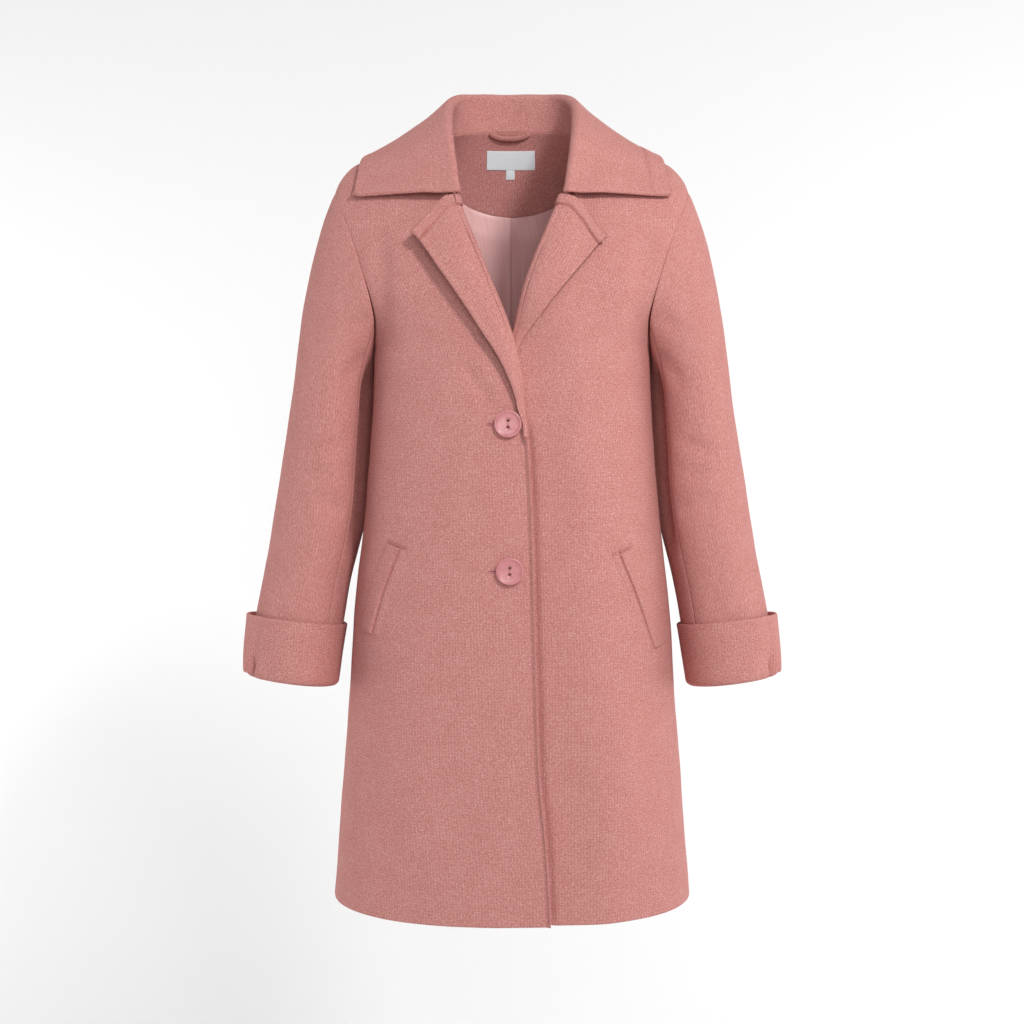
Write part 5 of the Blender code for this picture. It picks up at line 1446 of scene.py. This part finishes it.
def make_lining():
    right_half = np.linspace(0, LINING_HALF, 66)[1:]
    left_half = -right_half[::-1]
    fold = np.array(PLEAT)
    share = np.concatenate([left_half, np.zeros(len(fold)), right_half])
    turn = np.zeros(share.shape)
    deeper = np.zeros(share.shape)
    at_fold = slice(len(left_half), len(left_half) + len(fold))
    turn[at_fold] = fold[:, 0] * PLEAT_TURN
    turn = turn + PLEAT_SHIFT * hump(share / PLEAT_SPREAD)
    deeper[at_fold] = fold[:, 1]
    settled = np.exp(-np.maximum(share, 0) / PLEAT_SETTLE)
    deeper[at_fold.stop:] = PLEAT_LAYER * settled[at_fold.stop:]
    lower = (np.arange(LINING_HEM, CHEST_HEIGHT, 0.010) - CHEST_HEIGHT) / YOKE_DEPTH
    rows = [(share * half_width(BACK, level) + turn, level + 0 * share) for level in lower]
    reach_up = share * LINING_TOP_REACH + turn
    end = level_at(reach_up, facing_low(reach_up) - LINING_TOP_STEP)
    rows += [(reach_up, end * t) for t in np.linspace(0, 1, 34)]
    reaches = np.array([row[0] for row in rows])
    levels = np.array([row[1] for row in rows])
    points, normals = body_frame(BACK, reaches, levels)
    height = points[..., 2]
    ripple = RIPPLES[0] * np.sin(reaches * 95 + 0.4) * smooth_step((height + 0.80) / 0.3)
    ripple = ripple + RIPPLES[1] * np.sin(reaches * 160 + 1.9) * smooth_step((-0.10 - height) / 0.1)
    loose = np.ones((len(rows), 1))
    loose[-HELD_ROWS:, 0] = np.linspace(1, FACING_HOLD, HELD_ROWS)
    out = FACING_OUT - LINING_TOP_STEP - loose * (LINING_GAP + PLEAT_STEP + ripple - deeper)
    outer = points + normals * out[..., None]
    make_cloth("back_lining", outer, outer - normals * LINING_FINE, LINING_BULGE, "hung",
               ["neck_facing"], finish=SATIN, slot="lining_satin")


make_neck_facing()
make_lining()

# %% [markdown]
# A label and a small tab below it are sewn on the facing. Both are left bare. Over them droops the
# hanger loop, a narrow tube of the same wool with its ends caught in the neck seam.

# %% Label, tab and hanger loop
LABEL_SIZE = (0.0605, 0.0215)
LABEL_TOP = 0.0054
LABEL_MIDDLE_X = -0.0015
TAB_SIZE = (0.0108, 0.0106)
TAB_MIDDLE_X = -0.0020
TAB_STEP = 0.0005
LABEL_WALL = 0.0004
LABEL_BOW = 0.0004          # the label's middle stands off the facing this much
LABEL_BULGE = 0.0002
LOOP_HALF_WIDTH = 0.026
LOOP_MIDDLE_X = -0.003
LOOP_TOP = 0.0258
LOOP_DROOP = 0.0055
LOOP_STRAND = (0.0030, 0.0012)
LOOP_STAND_OFF = 0.0017
LOOP_BOW = 0.003


def make_patch(name, middle_x, size, top):
    heights = top - np.linspace(0, 1, 14)[:, None] * size[1]
    reaches = middle_x + np.linspace(-0.5, 0.5, 30) * size[0] + 0 * heights
    points, normals = body_frame(BACK, reaches, level_at(reaches, heights))
    bow = np.sin(np.linspace(0, math.pi, 30)) * np.sin(np.linspace(0, math.pi, 14))[:, None] * LABEL_BOW
    outer = points + normals * (FACING_OUT - FACING_WALL - LABEL_WALL - bow)[..., None]
    make_cloth(name, outer, outer - normals * LABEL_WALL, LABEL_BULGE, "laid", ["neck_facing"],
               finish=LABEL_TAPE, slot="label_cloth")


print("label size, in metres:", LABEL_SIZE)

# %% Thin strands


def tube_faces(rings, sides, start=0):
    """The faces of a closed tube: its wall between the rings, and a cap on each end."""
    faces = []
    for low in range(start, start + (rings - 1) * sides, sides):
        for corner in range(sides):
            following = (corner + 1) % sides
            faces.append((low + corner, low + following, low + sides + following, low + sides + corner))
    last = start + (rings - 1) * sides
    return faces + [tuple(range(start + sides - 1, start - 1, -1)), tuple(range(last, last + sides))]


def strand_mesh(name, path, flats, half_high, half_thick, sides=16):
    """A closed strip along a path, with an oval section and round ends."""
    ahead = unit(np.gradient(path, axis=0))
    turns = np.arange(sides) * 2 * math.pi / sides
    rings = []
    count = len(path)
    for place in range(count):
        side = unit(np.cross(ahead[place], flats[place]))
        end = min(place, count - 1 - place)
        size = math.sin(math.pi / 2 * min(1, (end + 0.35) / 2))
        rings.append(path[place] + np.outer(np.cos(turns) * half_high * size, side)
                     + np.outer(np.sin(turns) * half_thick * size, flats[place]))
    faces = tube_faces(count, sides)
    length = run_along(path, 0)
    places = [(length[point // sides], point % sides * 2 * math.pi * half_high / sides)
              for face in faces for point in face]
    return closed_mesh(name, np.concatenate(rings), faces, places)


print("faces of a tube of 3 rings:", len(tube_faces(3, 8)))

# %% Sewn inside the neck


def make_hanger_loop():
    t = np.linspace(-1, 1, 49)
    reach = t * LOOP_HALF_WIDTH + LOOP_MIDDLE_X
    height = LOOP_TOP - LOOP_DROOP * (1 - np.abs(t) ** 3)
    points, normals = body_frame(BACK, reach, level_at(reach, height))
    stand_off = FACING_WALL - FACING_OUT + LOOP_STAND_OFF + LOOP_BOW * (1 - t * t)
    path = points - normals * stand_off[:, None]
    mesh = strand_mesh("hanger_loop", path, normals, *LOOP_STRAND)
    new_piece("cloth_hanger_loop", mesh, WOOL, "wool", "hanger_loop")
    print("hanger loop:", round(float(run_along(path, 0)[-1]), 4), "m long")


make_patch("neck_label", LABEL_MIDDLE_X, LABEL_SIZE, LABEL_TOP)
make_patch("size_tab", TAB_MIDDLE_X, TAB_SIZE, LABEL_TOP - LABEL_SIZE[1] - TAB_STEP)
make_hanger_loop()

# %% [markdown]
# The buttons are discs turned on a lathe: a raised rounded rim, a shallow dish and two holes drilled
# through. Spinning one half-section about the button's axis makes exactly that shape.

# %% The buttons
BUTTON_RADIUS = 0.015
BUTTON_THICKNESS = 0.0042
BUTTON_HOLE_RADIUS = 0.0016
BUTTON_HOLE_SPACING = 0.0062
BUTTON_LIFT = 0.0009
BUTTON_SIDES = 96
BUTTONS = {"button_upper": (0.0043, -0.3355), "button_lower": (0.0025, -0.4938)}
RimPoint = namedtuple("RimPoint", "radius height")
BUTTON_SECTION = table_of(
    RimPoint,
    (0.00, 0.00), (0.80, 0.00), (0.90, 0.05), (0.96, 0.20), (0.99, 0.38), (1.00, 0.55),
    (0.995, 0.72), (0.98, 0.86), (0.95, 0.96), (0.91, 1.00), (0.87, 0.98), (0.84, 0.92),
    (0.81, 0.82), (0.78, 0.755), (0.74, 0.725), (0.50, 0.685), (0.00, 0.66))


def button_matrix(reach, height):
    seat = on_right_front(reach, height, BUTTON_LIFT)
    above = on_right_front(reach, height, BUTTON_LIFT + BUTTON_RADIUS)
    turn = Vector(unit(above - seat)).to_track_quat("Z", "Y").to_matrix().to_4x4()
    return Matrix.Translation(Vector(seat)) @ turn


def make_button(name, reach, height):
    mesh = bpy.data.meshes.new("cast_" + name)
    turned = bmesh.new()
    chain = [turned.verts.new((row.radius * BUTTON_RADIUS, 0, row.height * BUTTON_THICKNESS))
             for row in BUTTON_SECTION]
    edges = [turned.edges.new(pair) for pair in zip(chain[:-1], chain[1:])]
    bmesh.ops.spin(turned, geom=chain + edges, cent=(0, 0, 0), axis=(0, 0, 1),
                   angle=2 * math.pi, steps=BUTTON_SIDES, use_merge=True)
    bmesh.ops.remove_doubles(turned, verts=turned.verts, dist=1e-6)
    bmesh.ops.recalc_face_normals(turned, faces=turned.faces)
    turned.transform(button_matrix(reach, height))
    turned.to_mesh(mesh)
    turned.free()
    mesh.shade_smooth()
    mesh.set_sharp_from_angle(angle=math.radians(40))
    button = new_piece("cast_" + name, mesh, RESIN, "button_resin", name)
    for sign in (-1, 1):
        drill = bpy.data.meshes.new("drill")
        cut = bmesh.new()
        bmesh.ops.create_cone(cut, cap_ends=True, segments=28, radius1=BUTTON_HOLE_RADIUS,
                              radius2=BUTTON_HOLE_RADIUS, depth=4 * BUTTON_THICKNESS)
        offset = Matrix.Translation((0, sign * BUTTON_HOLE_SPACING / 2, 0))
        cut.transform(button_matrix(reach, height) @ offset)
        cut.to_mesh(drill)
        cut.free()
        cutter = bpy.data.objects.new("drill", drill)
        bpy.context.collection.objects.link(cutter)
        cutter.hide_render = True
        cutter.display_type = "WIRE"
        hole = button.modifiers.new("hole", "BOOLEAN")
        hole.object = cutter
    print(name, "at", [round(value, 4) for value in button_matrix(reach, height).translation])


for name, place in BUTTONS.items():
    make_button(name, *place)

# %% [markdown]
# Thread holds each button on, and a buttonhole is edged with tight stitches. Each stitch is a short
# tube of thread laid over the slit's edge. Most of the buttonhole hides under the button, and only
# its far end shows as a small dark eye: a near-black strip laid in the slit, painted shade for its opening.

# %% Thread and buttonholes
THREAD_RADIUS = 0.00045
THREAD_APART = 0.00015      # half the distance between the two threads that hold a button
STITCH_SPACING = 0.0008
STITCH_LENGTH = 0.0026
STITCH_SINK = 0.0001        # a stitch starts and ends this far out
STITCH_ARCH = 0.0005        # and rises by this much between
STITCH_RISE = 0.0004        # of the stitches round the far end
SLIT_RISE = 0.0002
SLIT_HALF_WIDTH = 0.0003
SLIT_STEPS = 14
BUTTONHOLE_START = 0.004    # from the button's middle
BUTTONHOLE_ENDS = {"button_upper": 0.0220, "button_lower": 0.0212}


def tube_points(path, radius, sides=8):
    ahead = unit(np.gradient(path, axis=0))
    side = unit(np.cross(ahead, np.array([0.13, -1.0, 0.21])))
    other = np.cross(ahead, side)
    turns = np.arange(sides) * 2 * math.pi / sides
    cosines, sines = np.cos(turns)[None, :, None], np.sin(turns)[None, :, None]
    round_it = cosines * side[:, None] + sines * other[:, None]
    return (path[:, None] + round_it * radius).reshape(-1, 3)


def join_tubes(name, paths, radius, sides=8):
    """One mesh of many short closed threads."""
    points = []
    faces = []
    for path in paths:
        faces += tube_faces(len(path), sides, sum(len(block) for block in points))
        points.append(tube_points(path, radius, sides))
    return closed_mesh(name, np.concatenate(points), faces)


def make_button_thread(name, reach, height):
    matrix = np.array(button_matrix(reach, height))
    paths = []
    for sideways in (-THREAD_APART, THREAD_APART):
        t = np.linspace(-1, 1, 13)
        arch = BUTTON_THICKNESS * (0.64 + 0.10 * (1 - t ** 4)) - 0.0022 * np.abs(t) ** 8
        local = np.stack([0 * t + sideways, t * BUTTON_HOLE_SPACING / 2, arch], axis=-1)
        paths.append(local @ matrix[:3, :3].T + matrix[:3, 3])
    mesh = join_tubes("thread_" + name, paths, THREAD_RADIUS)
    new_piece("thread_" + name, mesh, THREAD, "wool")


def make_buttonhole(name, reach, height):
    end = BUTTONHOLE_ENDS[name]
    paths = []
    count = int((end - BUTTONHOLE_START) / STITCH_SPACING)
    for place in range(count):
        along = reach + BUTTONHOLE_START + place * STITCH_SPACING
        for up in (-1, 1):
            t = np.linspace(0.15, 1, 5)
            heights = height + up * (t * STITCH_LENGTH / 2 + SLIT_HALF_WIDTH)
            out = STITCH_SINK + STITCH_ARCH * np.sin(math.pi * t)
            paths.append(on_right_front(along, heights, out))
    for turn in np.radians(np.linspace(-75, 75, 7)):
        t = np.linspace(0.15, 1, 5) * STITCH_LENGTH / 2 + SLIT_HALF_WIDTH
        along = reach + end - STITCH_SPACING + t * math.cos(turn)
        across = height + t * math.sin(turn)
        paths.append(on_right_front(along, across, STITCH_RISE))
    mesh = join_tubes("stitches_" + name, paths, THREAD_RADIUS, sides=6)
    new_piece("stitches_" + name, mesh, THREAD, "wool")
    # A near-black strip along the slit is painted shade for the shadow inside the opening.
    along = reach + np.linspace(BUTTONHOLE_START, end, SLIT_STEPS)
    slit = on_right_front(along, height, SLIT_RISE)
    forward = np.tile([0.0, -1.0, 0.0], (SLIT_STEPS, 1))
    mesh = strand_mesh("slit_" + name, slit, forward, THREAD_RADIUS, SLIT_HALF_WIDTH, 8)
    new_piece("slit_" + name, mesh, SLIT_SHADE, "wool")
    print(name, "buttonhole:", len(paths), "stitches")


for name, place in BUTTONS.items():
    make_button_thread(name, *place)
    make_buttonhole(name, *place)

# %% [markdown]
# The stage is a pale floor that curves up into a pale wall, so that no line shows behind the coat.
# Catalogue light is soft: a main light in front and to the coat's left, weaker ones in front and on
# the other side, and a bright room all round that keeps the shadows open.

# %% Floor and backdrop
FLOOR_HEIGHT = -1.9
WALL_Y = 1.7
SWEEP_RADIUS = 0.6


def make_stage():
    profile = [(-4.5, FLOOR_HEIGHT), (WALL_Y - SWEEP_RADIUS, FLOOR_HEIGHT)]
    for turn in np.radians(np.linspace(10, 90, 9)):
        profile.append((WALL_Y - SWEEP_RADIUS + SWEEP_RADIUS * math.sin(turn),
                        FLOOR_HEIGHT + SWEEP_RADIUS * (1 - math.cos(turn))))
    profile.append((WALL_Y, 3.5))
    points = [(x, y, z) for y, z in profile for x in (-5.0, 5.0)]
    faces = [(2 * row, 2 * row + 1, 2 * row + 3, 2 * row + 2) for row in range(len(profile) - 1)]
    mesh = bpy.data.meshes.new("stage")
    mesh.from_pydata(points, [], faces)
    mesh.shade_smooth()
    card = start_finish("matte_pale_card", {"Base Color": linear("#f4f4f4"), "Roughness": 0.95})[0]
    mesh.materials.append(card)
    stage = bpy.data.objects.new("stage", mesh)
    bpy.context.collection.objects.link(stage)


make_stage()

# %% Light
Lamp = namedtuple("Lamp", "name place size power aim")
COAT_MIDDLE = (0.0, 0.0, -0.42)
WALL_MIDDLE = (0.0, WALL_Y, -0.43)
LAMPS = (
    Lamp("key", (1.2, -2.3, 1.2), 0.55, 50.0, COAT_MIDDLE),
    Lamp("front", (0.3, -3.0, 0.3), 1.0, 14.0, COAT_MIDDLE),
    Lamp("fill", (-2.2, -2.2, 0.0), 2.2, 3.0, COAT_MIDDLE),
    Lamp("top", (0.2, 0.1, 2.2), 1.6, 3.0, COAT_MIDDLE),
    Lamp("backdrop_left", (-2.2, 0.4, -0.55), 1.5, 20.0, WALL_MIDDLE),
    Lamp("backdrop_right", (2.2, 0.4, -0.55), 1.5, 20.0, WALL_MIDDLE),
)
for lamp in LAMPS:
    light = bpy.data.lights.new(lamp.name, "AREA")
    light.shape = "DISK"
    light.size = lamp.size
    light.energy = lamp.power
    holder = bpy.data.objects.new(lamp.name, light)
    holder.location = lamp.place
    ahead = Vector(lamp.aim) - Vector(lamp.place)
    holder.rotation_euler = ahead.to_track_quat("-Z", "Y").to_euler()
    bpy.context.collection.objects.link(holder)

bpy.context.scene.view_settings.view_transform = "Standard"
print("colours are shown with:", bpy.context.scene.view_settings.view_transform)
world = bpy.data.worlds.new("bright_room")
world.use_nodes = True
world.node_tree.nodes["Background"].inputs["Color"].default_value = linear("#ffffff")
world.node_tree.nodes["Background"].inputs["Strength"].default_value = 0.38
bpy.context.scene.world = world
print("lamps:", len(LAMPS))

# %% [markdown]
# The camera stands level in front of the coat, two metres off, as in the picture.

# %% Camera
CAMERA_DISTANCE = 2.0
CAMERA_HEIGHT = -0.430
camera_data = bpy.data.cameras.new("camera")
camera_data.lens = 61.0
camera_data.sensor_width = 36.0
camera = bpy.data.objects.new("camera", camera_data)
camera.location = (0.0, -CAMERA_DISTANCE, CAMERA_HEIGHT)
camera.rotation_euler = (math.radians(90), 0.0, 0.0)
bpy.context.collection.objects.link(camera)
bpy.context.scene.camera = camera
print("camera at", tuple(camera.location), "with a lens of", camera_data.lens, "mm")
